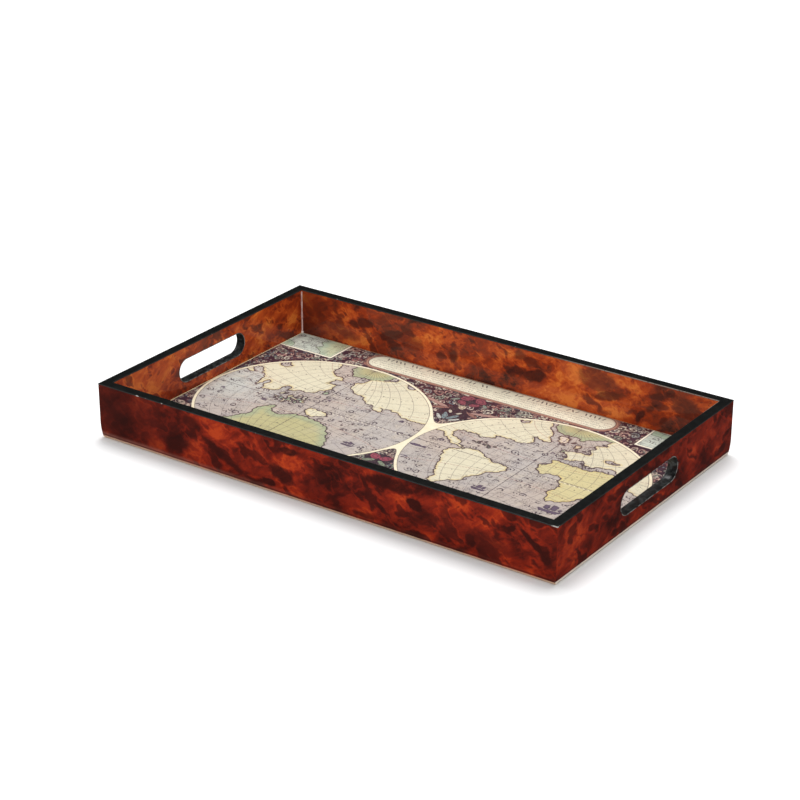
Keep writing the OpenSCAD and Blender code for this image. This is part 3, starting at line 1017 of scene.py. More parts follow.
def chart_finish(tones):
    """The printed chart under satin lacquer: globes, coasts, grid, insets, title and ornament."""
    bench = Bench("printed chart")
    step = bench.step
    ink = tuple(tones.ink)
    held = {
        name: bench.node("ShaderNodeAttribute", {"attribute_name": name}, (), output)
        for name, output in (("coast", 2), ("vessel", 2), ("wash", 0))
    }
    # The hand-cut outlines waver a little, as an old engraving's do.
    flat = bench.join(bench.x, bench.y)
    wavered = bench.warp(flat, 3.0, 0.25, 1.0)
    x, y, _ = bench.split(wavered)
    coast = held["coast"] + (bench.noise(flat, 2.6, 3.0, 0.6, 3.0) - 0.5) * 2.4

    # ---- the two globes
    east = x > 0.0
    u = (x - (east * 2.0 - 1.0) * GLOBE_X) / GLOBE_HALF_X
    v = (y - GLOBE_Y) / GLOBE_HALF_Y
    radius_2 = u * u + v * v
    radius = bench.math("SQRT", radius_2)
    past_rim = (radius - 1.0) * (GLOBE_HALF_X + GLOBE_HALF_Y) / 2
    scale = (radius_2 + 1.0) * (GLOBE_HALF_X + GLOBE_HALF_Y) / 4
    sine = bench.node(
        "ShaderNodeClamp", (), {"Value": 2.0 * v / (radius_2 + 1.0), "Min": -1.0, "Max": 1.0},
    )
    latitude = bench.math("ARCSINE", sine)
    longitude = bench.math("ARCTAN2", 2.0 * u, 1.0 - radius_2)
    cosine = bench.math("SQRT", 1.0001 - sine * sine)
    ten = math.radians(10)

    def off_line(angle, every):
        turns = angle / every
        return abs(turns - bench.math("ROUND", turns)) * every

    grid_gap = bench.math(
        "MINIMUM", off_line(latitude, ten) * scale, off_line(longitude, ten) * scale * cosine
    )
    grid = step(grid_gap, 0.42, 0.12)
    dashes = bench.math("FRACT", (u + v) * 24.0) > 0.32
    axis = step(bench.math("MINIMUM", abs(u) * GLOBE_HALF_X, abs(v) * GLOBE_HALF_Y), 0.55, 0.22)
    tropic = step(abs(abs(latitude) - math.radians(TILT)) * scale, 0.60, 0.20)
    polar = step(abs(abs(latitude) - math.radians(90.0 - TILT)) * scale, 0.55, 0.20)
    dots = bench.math("FRACT", longitude / math.radians(2.5)) > 0.3

    drift = bench.noise(flat, 75.0, 2.0, 0.5, 5.0)
    mottle = bench.noise(flat, 9.0, 4.0, 0.6, 6.0)
    fine = bench.noise(flat, 0.9, 3.0, 0.65, 7.0)
    sea = bench.mix(step(drift, 0.38, 0.66), tones.sea, (0.47, 0.395, 0.345))
    cold = step(abs(x + 205.0), 66.0, 8.0) * step(abs(y - 14.0), 66.0, 6.0)
    sea = bench.mix(cold * 0.8, sea, (0.50, 0.505, 0.47))
    blotch = bench.noise(flat, 11.0, 3.0, 0.6, 17.0)
    sea = bench.mix(step(blotch, 0.50, 0.72) * 0.55, sea, (0.52, 0.45, 0.37))
    sea = bench.mix(step(blotch, 0.46, 0.28) * 0.40, sea, (0.36, 0.335, 0.36))
    engraved = bench.noise(bench.join(x / 7.0, y / 0.55), 1.0, 2.0, 0.5, 19.0)
    sea = bench.mix(step(engraved, 0.50, 0.70) * 0.22, sea, ink)
    hatch = bench.math("FRACT", y / 0.85) > 0.55
    shore = step(coast, -1.9, -0.5)
    sea = bench.mix(shore * hatch * 0.35, sea, (0.20, 0.16, 0.18))
    land = step(coast, -0.12, 0.12)
    # Painted lands run from a blue-green edge to a yellow middle; pale ones have a golden edge.
    painted = step(bench.split(held["wash"])[0], 0.53, 0.48)
    inner = bench.mix(step(coast, 2.0, 11.0), (0.33, 0.39, 0.26), (0.51, 0.455, 0.23))
    golden = bench.mix(0.75, held["wash"], (0.60, 0.44, 0.15))
    fringe = step(coast, 3.4, 0.4) * step(bench.noise(flat, 14.0, 3.0, 0.6, 18.0), 0.36, 0.56)
    pale = bench.mix(fringe * 0.75, held["wash"], golden)
    green = bench.mix(0.55, held["wash"], inner)
    wash = bench.mix(painted, pale, green)
    stain = step(bench.noise(flat, 26.0, 2.0, 0.5, 8.0), 0.5, 0.75)
    wash = bench.mix(stain * 0.22, wash, (0.50, 0.45, 0.36))
    globe = bench.mix(land, sea, wash)
    globe = bench.mix(grid * 0.55, globe, (0.12, 0.095, 0.10))
    red = (0.30, 0.10, 0.085)
    globe = bench.mix(tropic * dots * 0.62, globe, red)
    globe = bench.mix(polar * dots * 0.55, globe, red)
    ladder = step(abs(v * GLOBE_HALF_Y + 1.5), 1.0, 0.6) * step(abs(u - 0.55), 0.5, 0.42)
    globe = bench.mix(ladder * 0.5, globe, bench.mix(dashes, (0.82, 0.76, 0.58), (0.34, 0.27, 0.26)))
    globe = bench.mix(axis * (dashes * 0.6 + 0.3), globe, ink)

    def strokes(span, long, thick, share, turn, seed):
        """Short strokes like fine engraving, one to a cell."""
        shifted = bench.vector_math("ADD", flat, (seed * 31.0, seed * 17.0, 0.0))
        spot = bench.cells(shifted, span, 2, dimensions="2D")
        chance, second, third = bench.split(bench.cells(shifted, span, 1, dimensions="2D"))
        dx, dy, _ = bench.split(bench.vector_math("SUBTRACT", shifted, spot))
        angle = (second - 0.5) * turn
        cos_a = bench.math("COSINE", angle)
        sin_a = bench.math("SINE", angle)
        along = abs(dx * cos_a + dy * sin_a) - (third * 0.6 + 0.4) * long
        across = abs(dy * cos_a - dx * sin_a) - thick
        return step(bench.math("MAXIMUM", along, across), 0.16, -0.06) * (chance > 1.0 - share)

    def curls(vector, span, pitch, thick, reach):
        """A spiral stroke in each cell, its turn, and the cell's own random values."""
        middle_at = bench.cells(vector, span, 2, dimensions="2D")
        chances = bench.split(bench.cells(vector, span, 1, dimensions="2D"))
        cx, cy, _ = bench.split(bench.vector_math("SUBTRACT", vector, middle_at))
        out = bench.math("SQRT", cx * cx + cy * cy)
        turned = bench.math("ARCTAN2", cy, cx) / math.tau
        arm = out / pitch + ((chances[0] > 0.5) * 2.0 - 1.0) * turned + chances[1]
        stroke = step(abs(bench.math("FRACT", arm) - 0.5), thick + 0.10, thick - 0.02)
        return stroke * step(out, reach + 0.5, reach - 0.3), out, chances

    patches = step(bench.noise(flat, 17.0, 2.0, 0.5, 12.0), 0.47, 0.58)
    marks = strokes(3.1, 1.0, 0.24, 0.50, 2.2, 1.0) * (1.0 - land * 0.6) * (patches * 0.75 + 0.25)
    bold = strokes(9.0, 0.9, 0.50, 0.35, 3.0, 2.0)
    flourish_place = bench.warp(flat, 5.0, 1.7, 51.0)
    flourish, _, flourish_kind = curls(flourish_place, 8.5, 3.1, 0.17, 3.9)
    written = step(bench.noise(bench.join(x / 26.0, y / 8.0), 1.0, 1.0, 0.5, 52.0), 0.47, 0.54)
    flourish = flourish * (flourish_kind[2] > 0.35) * written * (1.0 - land)
    thread_noise = bench.noise(bench.warp(flat, 3.0, 1.0, 53.0), 1.6, 1.0, 0.5, 54.0)
    tangle = step(abs(thread_noise - 0.5), 0.048, 0.018)
    busy = step(bench.noise(flat, 12.0, 2.0, 0.5, 55.0), 0.51, 0.60)
    north = step(abs(x - 142.0), 34.0, 14.0) * step(abs(y - 52.0), 34.0, 16.0)
    indies = step(abs(x + 143.0), 28.0, 12.0) * step(abs(y - 6.0), 22.0, 10.0)
    crowd = bench.math("MAXIMUM", bench.math("MAXIMUM", north, indies), busy * 0.6)
    crowd = crowd * (1.0 - land * 0.7) * tangle
    rows = step(abs(bench.math("FRACT", (y + x * 0.12) / 5.2) - 0.5), 0.10, 0.04)
    rows = rows * (bench.noise(bench.join(x / 0.5, y / 9.0), 1.0, 1.0, 0.5, 13.0) > 0.52)
    rows = rows * step(bench.noise(bench.join(x / 16.0, y / 5.2), 1.0, 1.0, 0.5, 14.0), 0.50, 0.60)
    for mark, strength in (
        (marks, 0.85), (bold, 0.8), (rows, 0.45), (flourish, 0.92), (crowd, 0.85),
    ):
        globe = bench.mix(mark * strength, globe, ink)
    shaded = step(abs(coast + 0.25), 1.05, 0.30)
    globe = bench.mix(shaded * 0.50, globe, (0.22, 0.15, 0.13))
    globe = bench.mix(step(abs(coast), 0.72, 0.34) * 0.94, globe, (0.055, 0.035, 0.045))
    vessel = held["vessel"] + (bench.noise(flat, 1.1, 2.0, 0.5, 9.0) - 0.5) * 1.6
    globe = bench.mix(step(vessel, -0.25, 0.15) * 0.9, globe, (0.06, 0.035, 0.07))
    globe = bench.mix(step(vessel, 0.75, 1.3) * 0.80, globe, (0.12, 0.085, 0.13))

    # ---- ornament between the globes: curls of leafy scroll on a dark ground
    palette = [
        (0.0, (0.60, 0.54, 0.44)), (0.20, (0.27, 0.10, 0.09)), (0.34, (0.22, 0.28, 0.22)),
        (0.48, (0.62, 0.57, 0.47)), (0.64, (0.44, 0.24, 0.20)), (0.78, (0.66, 0.60, 0.47)),
        (0.92, (0.15, 0.19, 0.21)),
    ]
    big, _, kind = curls(bench.warp(flat, 15.0, 4.0, 21.0), 11.0, 3.9, 0.16, 5.0)
    small, _, small_kind = curls(bench.warp(flat, 6.0, 2.0, 23.0), 5.6, 2.3, 0.19, 2.5)
    leaf_place = bench.warp(flat, 4.0, 1.8, 22.0)
    leaf_gap = bench.cells(leaf_place, 3.8, 0, dimensions="2D")
    leaf_kind = bench.split(bench.cells(leaf_place, 3.8, 1, dimensions="2D"))
    leaf = step(leaf_gap, 0.38, 0.24) * (leaf_kind[0] > 0.60)
    ground = bench.mix(step(mottle, 0.46, 0.66), tones.ground, [c * 1.8 for c in tones.ground])
    ornament = bench.mix(leaf * 0.85, ground, bench.ramp(leaf_kind[1], palette))
    ornament = bench.mix(
        small * (small_kind[0] > 0.35) * 0.85, ornament, bench.ramp(small_kind[2], palette),
    )
    ornament = bench.mix(big * (kind[0] > 0.25) * 0.95, ornament, bench.ramp(kind[2], palette))
    threads = step(abs(bench.noise(flat, 3.4, 2.0, 0.6, 24.0) - 0.5), 0.05, 0.02)
    ornament = bench.mix(threads * 0.65, ornament, tones.ground)

    # ---- medallions on the chart's middle line: mirrored hearts, scrolls and a shell. Each row:
    # middle, half length, half height, lean in degrees and colour, the grounds first.
    dark = tuple(tones.ground)
    hairs = bench.noise(flat, 1.8, 3.0, 0.6, 62.0)
    torn_edge = (mottle + hairs - 1.0) * 0.9
    mirrored = bench.join(abs(x + (bench.noise(flat, 6.0, 2.0, 0.5, 61.0) - 0.5) * 3.0), y)
    for cx, cy, half_x, half_y, lean, tint in (
        (0.0, 97.0, 16.0, 12.0, 0, dark), (0.0, 64.0, 15.0, 15.0, 0, dark),
        (0.0, -54.0, 12.0, 11.0, 0, dark), (0.0, -88.0, 15.0, 12.0, 0, dark),
        (26.0, 76.0, 18.0, 2.4, 16, (0.36, 0.22, 0.19)), (17.0, 69.0, 9.0, 2.2, -24, (0.30, 0.15, 0.12)),
        (7.0, 99.0, 7.6, 5.0, -30, (0.24, 0.07, 0.09)), (6.5, 88.5, 5.6, 3.2, 36, (0.26, 0.07, 0.09)),
        (13.5, 106.0, 4.6, 2.2, 24, (0.58, 0.52, 0.42)), (16.0, 92.0, 4.2, 1.8, -40, (0.24, 0.29, 0.24)),
        (4.0, 56.0, 7.0, 2.6, 62, (0.20, 0.26, 0.27)), (8.0, 52.0, 6.0, 1.7, 44, (0.56, 0.57, 0.52)),
        (0.0, 79.0, 4.2, 4.2, 0, (0.52, 0.44, 0.32)), (4.5, 66.0, 3.4, 1.6, 50, (0.60, 0.54, 0.42)),
        (5.5, -50.0, 6.2, 4.2, 34, (0.31, 0.07, 0.10)), (7.0, -59.0, 5.6, 2.4, -30, (0.24, 0.29, 0.20)),
        (7.0, -86.0, 7.2, 4.8, 28, (0.29, 0.07, 0.09)), (6.0, -96.0, 5.0, 2.8, -36, (0.46, 0.30, 0.24)),
        (24.0, -73.0, 16.0, 2.8, -18, (0.44, 0.26, 0.22)), (0.0, -72.0, 4.0, 4.0, 0, (0.55, 0.47, 0.34)),
    ):
        mapped = bench.node(
            "ShaderNodeMapping", {"vector_type": "TEXTURE"},
            {"Vector": mirrored, "Location": (cx, cy, 0.0),
             "Rotation": (0.0, 0.0, math.radians(lean)), "Scale": (half_x, half_y, 1e5)},
        )
        out = bench.vector_math("LENGTH", mapped, output=1) + torn_edge
        ornament = bench.mix(step(out, 1.05, 0.92) * 0.92, ornament, tint)
        ornament = bench.mix(bench.band(out, 1.0, 0.05, 0.12) * 0.75, ornament, tones.ground)
        if half_x < 12.0:
            ornament = bench.mix(bench.band(out, 0.50, 0.05, 0.12) * 0.6, ornament, tones.ground)
    uneven = bench.mix(hairs, (0.62, 0.60, 0.62), (1.30, 1.28, 1.26))
    ornament = bench.mix(0.8, ornament, uneven, "MULTIPLY")

    # ---- rings round the globes
    chart = bench.mix(step(past_rim, 0.2, -0.2), ornament, globe)
    # Where the two rings meet they flow into one.
    other_u = (abs(x) + GLOBE_X) / GLOBE_HALF_X
    other = (bench.math("SQRT", other_u * other_u + v * v) - 1.0) * (GLOBE_HALF_X + GLOBE_HALF_Y) / 2
    web = step(y, 4.0, 34.0) * 27.0 + step(y, -4.0, -26.0) * 12.0 + 10.0
    past_ring = bench.math("SMOOTH_MIN", past_rim, other, web) - RING
    on_ring = step(past_ring, 0.2, -0.2) * step(past_rim, -0.2, 0.2)
    turn = bench.math("ARCTAN2", v, u) / math.radians(5)
    notches = step(abs(bench.math("FRACT", turn) - 0.5), 0.06, 0.03) * bench.band(past_rim, 1.0, 0.7, 0.2)
    ring_tint = bench.mix(mottle, (0.68, 0.59, 0.41), (0.86, 0.80, 0.62))
    ring_tint = bench.mix(notches * 0.22, ring_tint, ink)
    chart = bench.mix(on_ring, chart, ring_tint)
    inner_line = bench.band(past_rim, 0.15, 0.12, 0.3)
    outer_line = bench.band(past_ring, 0.0, 0.10, 0.3)
    lines = bench.math("MAXIMUM", inner_line, outer_line)
    chart = bench.mix(lines * 0.75, chart, ink)

    # ---- corner insets
    inset_x = abs(x) - INSET_X
    inset_y = abs(y) - INSET_Y
    inset = bench.math("MINIMUM", inset_x, inset_y)
    inset_sea = bench.mix(mottle, (0.42, 0.47, 0.41), (0.58, 0.62, 0.53))
    inset_sea = bench.mix(step(engraved, 0.48, 0.66) * 0.3, inset_sea, ink)
    inset_chart = bench.mix(land, inset_sea, wash)
    inset_grid = off_line(x, 15.0)
    inset_grid = bench.math("MINIMUM", inset_grid, off_line(y, 12.0))
    inset_chart = bench.mix(step(inset_grid, 0.35, 0.15) * 0.4, inset_chart, ink)
    crossed = bench.math("MAXIMUM", bench.math("MAXIMUM", marks, tangle * busy), flourish)
    inset_chart = bench.mix(crossed * 0.85, inset_chart, ink)
    inset_chart = bench.mix(step(abs(coast), 0.6, 0.25) * 0.85, inset_chart, (0.10, 0.09, 0.08))
    frame_tint = bench.mix(fine, (0.76, 0.70, 0.55), (0.86, 0.82, 0.68))
    inset_chart = bench.mix(step(inset, 2.3, 2.0), inset_chart, frame_tint)
    inset_chart = bench.mix(bench.band(inset, 2.3, 0.10, 0.25) * 0.7, inset_chart, ink)
    chart = bench.mix(step(inset, -0.1, 0.1), chart, inset_chart)
    chart = bench.mix(bench.band(inset, 0.0, 0.15, 0.3) * 0.8, chart, ink)

    # ---- title panels, with plain marks in place of words
    beside = bench.math("MAXIMUM", abs(x) - TITLE_HALF_X, 0.0)
    rise = abs(y) - TITLE_Y
    past_panel = bench.math("SQRT", beside * beside + rise * rise) - TITLE_R
    spiky = (bench.noise(flat, 4.5, 3.0, 0.6, 31.0) - 0.5) * step(beside, 2.0, 14.0) * 13.0
    strap = step(past_panel + spiky, 4.2, 3.6)
    strap_tint = bench.mix(fine, (0.16, 0.080, 0.070), (0.30, 0.150, 0.115))
    chart = bench.mix(strap, chart, strap_tint)
    chart = bench.mix(bench.band(past_panel, 1.5, 0.25, 0.4) * 0.40, chart, (0.62, 0.42, 0.28))
    panel = bench.mix(mottle, (0.66, 0.625, 0.48), (0.76, 0.73, 0.58))
    # The top row: spaced upright and slanted strokes, no two columns alike.
    column = bench.math("FLOOR", x / MARK_PITCH)
    chance = bench.node("ShaderNodeTexWhiteNoise", {"noise_dimensions": "1D"}, {"W": column}, 0)
    slant = (chance - 0.5) * 1.3
    height = rise - 8.2
    bar = abs(x - (column + 0.5) * MARK_PITCH - height * slant)
    bar = step(bench.math("MAXIMUM", bar - 0.62, abs(height) - 2.2), 0.20, -0.10)
    bar = bar * (bench.math("FRACT", chance * 7.0) > 0.16) * step(abs(x), 122.0, 121.0)
    panel = bench.mix(bar * 0.9, panel, ink)
    # Below it, four rows of fine running marks with gaps between them.
    lower = rise - 4.6
    row = bench.math("FLOOR", lower / ROW_PITCH)
    row_gap = abs(bench.math("FRACT", lower / ROW_PITCH) - 0.5) * ROW_PITCH
    written_marks = bench.noise(bench.join((x + y * 0.6) / 0.95, y / 1.3), 1.0, 2.0, 0.6, 33.0)
    words = bench.noise(bench.join(x / 7.5, row * 5.0), 1.0, 1.0, 0.5, 34.0)
    fine_rows = step(row_gap, 1.5, 0.8) * step(written_marks, 0.50, 0.56) * step(words, 0.40, 0.46)
    fine_rows = fine_rows * step(lower, 0.4, 0.0) * step(past_panel, -1.8, -3.0)
    panel = bench.mix(fine_rows * 0.72, panel, (0.10, 0.07, 0.09))
    chart = bench.mix(step(past_panel, 0.1, -0.1), chart, panel)
    chart = bench.mix(bench.band(past_panel, -0.2, 0.18, 0.3) * 0.75, chart, ink)
    chart = bench.mix(bench.band(past_panel, -1.4, 0.08, 0.25) * 0.4, chart, ink)

    # ---- the trimmed edge, age and print grain
    to_edge = bench.math("MINIMUM", SHEET_X - abs(bench.x), SHEET_Y - abs(bench.y))
    long_edge = step(abs(bench.y), SHEET_Y - 2.0, SHEET_Y - 1.0)
    margin = bench.mix(long_edge, (0.78, 0.66, 0.38), (0.42, 0.20, 0.09))
    chart = bench.mix(step(to_edge, 1.1, 0.8) * 0.85, chart, margin)
    chart = bench.mix(1.0, chart, bench.mix(mottle, (0.93, 0.92, 0.90), (1.03, 1.03, 1.03)), "MULTIPLY")
    chart = bench.mix(0.5, chart, bench.mix(fine, (0.86, 0.85, 0.84), (1.12, 1.12, 1.12)), "MULTIPLY")
    specks = dust(bench, 19.0, 0.35, 0.5, 11.0)
    chart = bench.mix(specks * 0.6, chart, (0.92, 0.90, 0.86))
    smear = bench.noise(bench.place, 34.0, 3.0, 0.55, 40.0)
    normal = bench.bump(bench.noise(bench.place, 7.0, 2.0, 0.5, 41.0) + fine * 0.05, 0.10, 0.0004)
    return bench.finish(
        Base_Color=chart, Roughness=0.38 + (smear - 0.5) * 0.2, Specular_IOR_Level=0.3,
        Coat_Weight=0.35, Coat_Roughness=0.14, Coat_IOR=1.45, Normal=normal,
    )


# ---------------------------------------------------------------- operators


class TRAY_OT_outer_burl(bpy.types.Operator):
    """Four outer veneers, with a slow belly and a rounded foot, mitred at the corners"""

    bl_idname = "tray.outer_burl"
    bl_label = "Outer Burl"

    def execute(self, context):
        sizes = context.scene.tray_sizes
        ring = self.bent_ring(sizes)
        tones = context.scene.tray_colours
        stops = (
            tones.outer_dark, tones.outer_brown, tones.outer_body, tones.outer_bright, tones.outer_flame,
        )
        finish = burl_finish(
            "outer burl", stops, 4.0, -LONG_SHEET, OUTER_DARK_FIGURE_AND_SHADE, OUTER_BRIGHT_FIGURE, foot=True,
        )
        for side in SIDES:
            face = copy_of(ring, side + "_outer_burl")
            cut_mitres(face, side)
            if side in ("right", "left"):
                self.cut_slot(face, side)
            dress(face, finish, [side + "_outer_veneer"])
        drop(ring)
        return {"FINISHED"}

    def bent_ring(self, sizes):
        """One closed skin all round the tray, to be cut into four."""
        bpy.ops.mesh.primitive_plane_add(size=2, location=(0, 0, SKIN_TOP))
        ring = place("outer_ring")
        edit(ring, "EDGE")
        bpy.ops.mesh.select_all(action="SELECT")
        bpy.ops.transform.resize(value=(HALF_LENGTH, HALF_WIDTH, 1))
        bpy.ops.mesh.delete(type="ONLY_FACE")
        bpy.ops.mesh.select_all(action="SELECT")
        inset, height = 0.0, SKIN_TOP
        for new_inset, new_height in self.profile(sizes):
            bpy.ops.mesh.extrude_edges_move(
                TRANSFORM_OT_translate={"value": (0, 0, new_height - height)}
            )
            across = (HALF_LENGTH - new_inset) / (HALF_LENGTH - inset)
            along = (HALF_WIDTH - new_inset) / (HALF_WIDTH - inset)
            bpy.ops.transform.resize(value=(across, along, 1), center_override=(0, 0, new_height))
            inset, height = new_inset, new_height
        tolerance = 0.05 * MM

        def upright(edge):
            rises = abs(edge.verts[0].co.z - edge.verts[1].co.z) > 1e-7
            centre = middle(edge)
            return rises and abs(
                (HALF_LENGTH - abs(centre.x)) - (HALF_WIDTH - abs(centre.y))
            ) < tolerance

        pick(ring, "EDGE", upright)
        bpy.ops.mesh.bevel(offset=sizes.corner_round, segments=6, profile=0.5, affect="EDGES")
        close(ring)
        modify(
            ring, "SOLIDIFY", thickness=VENEER, offset=-1.0, use_even_offset=True, use_rim=True,
        )
        return ring

    @staticmethod
    def profile(sizes):
        """The outer face from its top down: distance in from upright, and height."""
        rise = sizes.belly_start - SKIN_BOTTOM + sizes.foot_drop - sizes.toe_radius
        reach = sizes.belly_radius - sizes.toe_radius
        turn = math.asin(rise / reach)
        toe_in = sizes.belly_radius - reach * math.cos(turn)
        toe_up = sizes.belly_start - reach * math.sin(turn)
        points = [(0.0, sizes.belly_start + 14 * MM), (0.0, sizes.belly_start)]
        for k in range(1, BELLY_STEPS + 1):
            a = turn * k / BELLY_STEPS
            points.append((
                sizes.belly_radius * (1 - math.cos(a)),
                sizes.belly_start - sizes.belly_radius * math.sin(a),
            ))
        for k in range(1, TOE_STEPS + 1):
            a = turn + (math.pi / 2 - turn) * k / TOE_STEPS
            points.append((
                toe_in - sizes.toe_radius * math.cos(a),
                toe_up - sizes.toe_radius * math.sin(a),
            ))
        return points

    @staticmethod
    def cut_slot(face, side):
        """Cuts the hand slot through an end face."""
        way = 1 if side == "right" else -1
        cutter = slot_bar("slot_cutter", way * (HALF_LENGTH + CLEAR), -way * (WALL + 2 * CLEAR))
        modify(face, "BOOLEAN", operation="DIFFERENCE", solver="EXACT", object=cutter)
        drop(cutter)
        only(face)
        bpy.ops.object.shade_smooth_by_angle(angle=math.radians(35))


def slot_loop(name, x):
    """The slot's round-ended outline, as a loop of edges standing at x."""
    radius = (SLOT_HIGH.z - SLOT_LOW.z) / 2
    centre_z = (SLOT_HIGH.z + SLOT_LOW.z) / 2
    straight = (SLOT_HIGH.y - SLOT_LOW.y) - (SLOT_HIGH.z - SLOT_LOW.z)
    bpy.ops.mesh.primitive_circle_add(
        vertices=74, radius=radius, location=(x, 0, centre_z),
        rotation=(0, math.pi / 2, 0), fill_type="NOTHING",
    )
    loop = place(name)
    edit(loop, "VERT")
    for way in (1, -1):
        pick(loop, "VERT", lambda vert: vert.co.y * way > 1e-6)
        bpy.ops.transform.translate(value=(0, way * straight / 2, 0))
    # The two points on the upright middle line go, and straight runs take their place.
    pick(loop, "VERT", lambda vert: abs(vert.co.y) < straight / 4)
    bpy.ops.mesh.dissolve_verts()
    return loop


def slot_bar(name, x, depth):
    """A solid bar in the slot's outline."""
    bar = slot_loop(name, x)
    bpy.ops.mesh.select_all(action="SELECT")
    bpy.ops.mesh.edge_face_add()
    bpy.ops.mesh.extrude_region_move(TRANSFORM_OT_translate={"value": (depth, 0, 0)})
    return close(bar)


class TRAY_OT_inner_burl(bpy.types.Operator):
    """The inner veneers' lighter burl, on the CAD sheets themselves"""

    bl_idname = "tray.inner_burl"
    bl_label = "Inner Burl"

    def execute(self, context):
        tones = context.scene.tray_colours
        stops = (
            tones.inner_dark, tones.inner_brown, tones.inner_body, tones.inner_bright, tones.inner_flame,
        )
        finish = burl_finish(
            "inner burl", stops, 61.0, LONG_SHEET, INNER_DARK_FIGURE, INNER_BRIGHT_FIGURE,
        )
        for side in SIDES:
            dress_node(side + "_inner_veneer", finish)
        return {"FINISHED"}


class TRAY_OT_rim_bands(bpy.types.Operator):
    """Four black bands along the top of the walls, hand-cut and eased along their arrises"""

    bl_idname = "tray.rim_bands"
    bl_label = "Rim Bands"

    def execute(self, context):
        sizes = context.scene.tray_sizes
        bpy.ops.mesh.primitive_plane_add(size=2, location=(0, 0, SKIN_TOP))
        ring = place("rim_ring")
        edit(ring, "FACE")
        bpy.ops.mesh.select_all(action="SELECT")
        bpy.ops.transform.resize(value=(HALF_LENGTH, HALF_WIDTH, 1))
        bpy.ops.mesh.inset(thickness=WALL, use_even_offset=True)
        bpy.ops.mesh.delete(type="FACE")

        def runs_along(edge):
            ends = edge.verts[0].co - edge.verts[1].co
            return abs(ends.x) < 1e-6 or abs(ends.y) < 1e-6

        pick(ring, "EDGE", runs_along)
        bpy.ops.mesh.subdivide(number_cuts=47)
        bpy.ops.mesh.select_all(action="SELECT")
        bpy.ops.mesh.extrude_region_move(
            TRANSFORM_OT_translate={"value": (0, 0, RIM_TOP - SKIN_TOP)}
        )
        close(ring)
        waver = sizes.rim_waver

        def inner_top(co):
            depth = min(HALF_LENGTH - abs(co.x), HALF_WIDTH - abs(co.y))
            return depth > WALL / 2

        def outer_top(co):
            depth = min(HALF_LENGTH - abs(co.x), HALF_WIDTH - abs(co.y))
            return depth < WALL / 2 and co.z > RIM_TOP - 0.1 * MM

        ripple(ring, inner_top, waver, 14 * MM, 0.31)
        ripple(ring, outer_top, -0.25 * waver, 22 * MM, 0.77)

        def arris(edge):
            ends = edge.verts[0].co - edge.verts[1].co
            if len(edge.link_faces) != 2:
                return False
            return edge.calc_face_angle(0.0) > math.radians(60) and abs(ends.z) < 0.2 * MM

        edit(ring, "EDGE")
        pick(ring, "EDGE", lambda edge: arris(edge) and middle(edge).z > RIM_TOP - 0.3 * MM)
        bpy.ops.mesh.bevel(offset=sizes.rim_round, segments=3, profile=0.5, affect="EDGES")
        close(ring)
        finish = black_finish(context.scene.tray_colours)
        for side in SIDES:
            band = copy_of(ring, side + "_rim")
            cut_mitres(band, side)
            dress(band, finish, [side + "_rim_band"])
        drop(ring)
        return {"FINISHED"}


class TRAY_OT_slot_linings(bpy.types.Operator):
    """A black lining in each hand slot, with a rounded lip on both faces"""

    bl_idname = "tray.slot_linings"
    bl_label = "Slot Linings"

    def execute(self, context):
        sizes = context.scene.tray_sizes
        finish = lining_finish(context.scene.tray_colours)
        for side, way in (("right", 1), ("left", -1)):
            start = way * (HALF_LENGTH + sizes.lip)
            lining = slot_loop(side + "_slot_lip", start)
            bpy.ops.mesh.select_all(action="SELECT")
            bpy.ops.mesh.extrude_edges_move(
                TRANSFORM_OT_translate={"value": (-way * (WALL + 2 * sizes.lip), 0, 0)}
            )
            close(lining)
            modify(
                lining, "SOLIDIFY", thickness=LINING, offset=-1.0, use_even_offset=True, use_rim=True,
            )
            modify(
                lining, "BEVEL", width=sizes.lip_round, segments=3, limit_method="ANGLE",
                angle_limit=math.radians(50),
            )
            edit(lining, "VERT")
            close(lining, 40)
            dress(lining, finish, [side + "_slot_lining"])
        return {"FINISHED"}


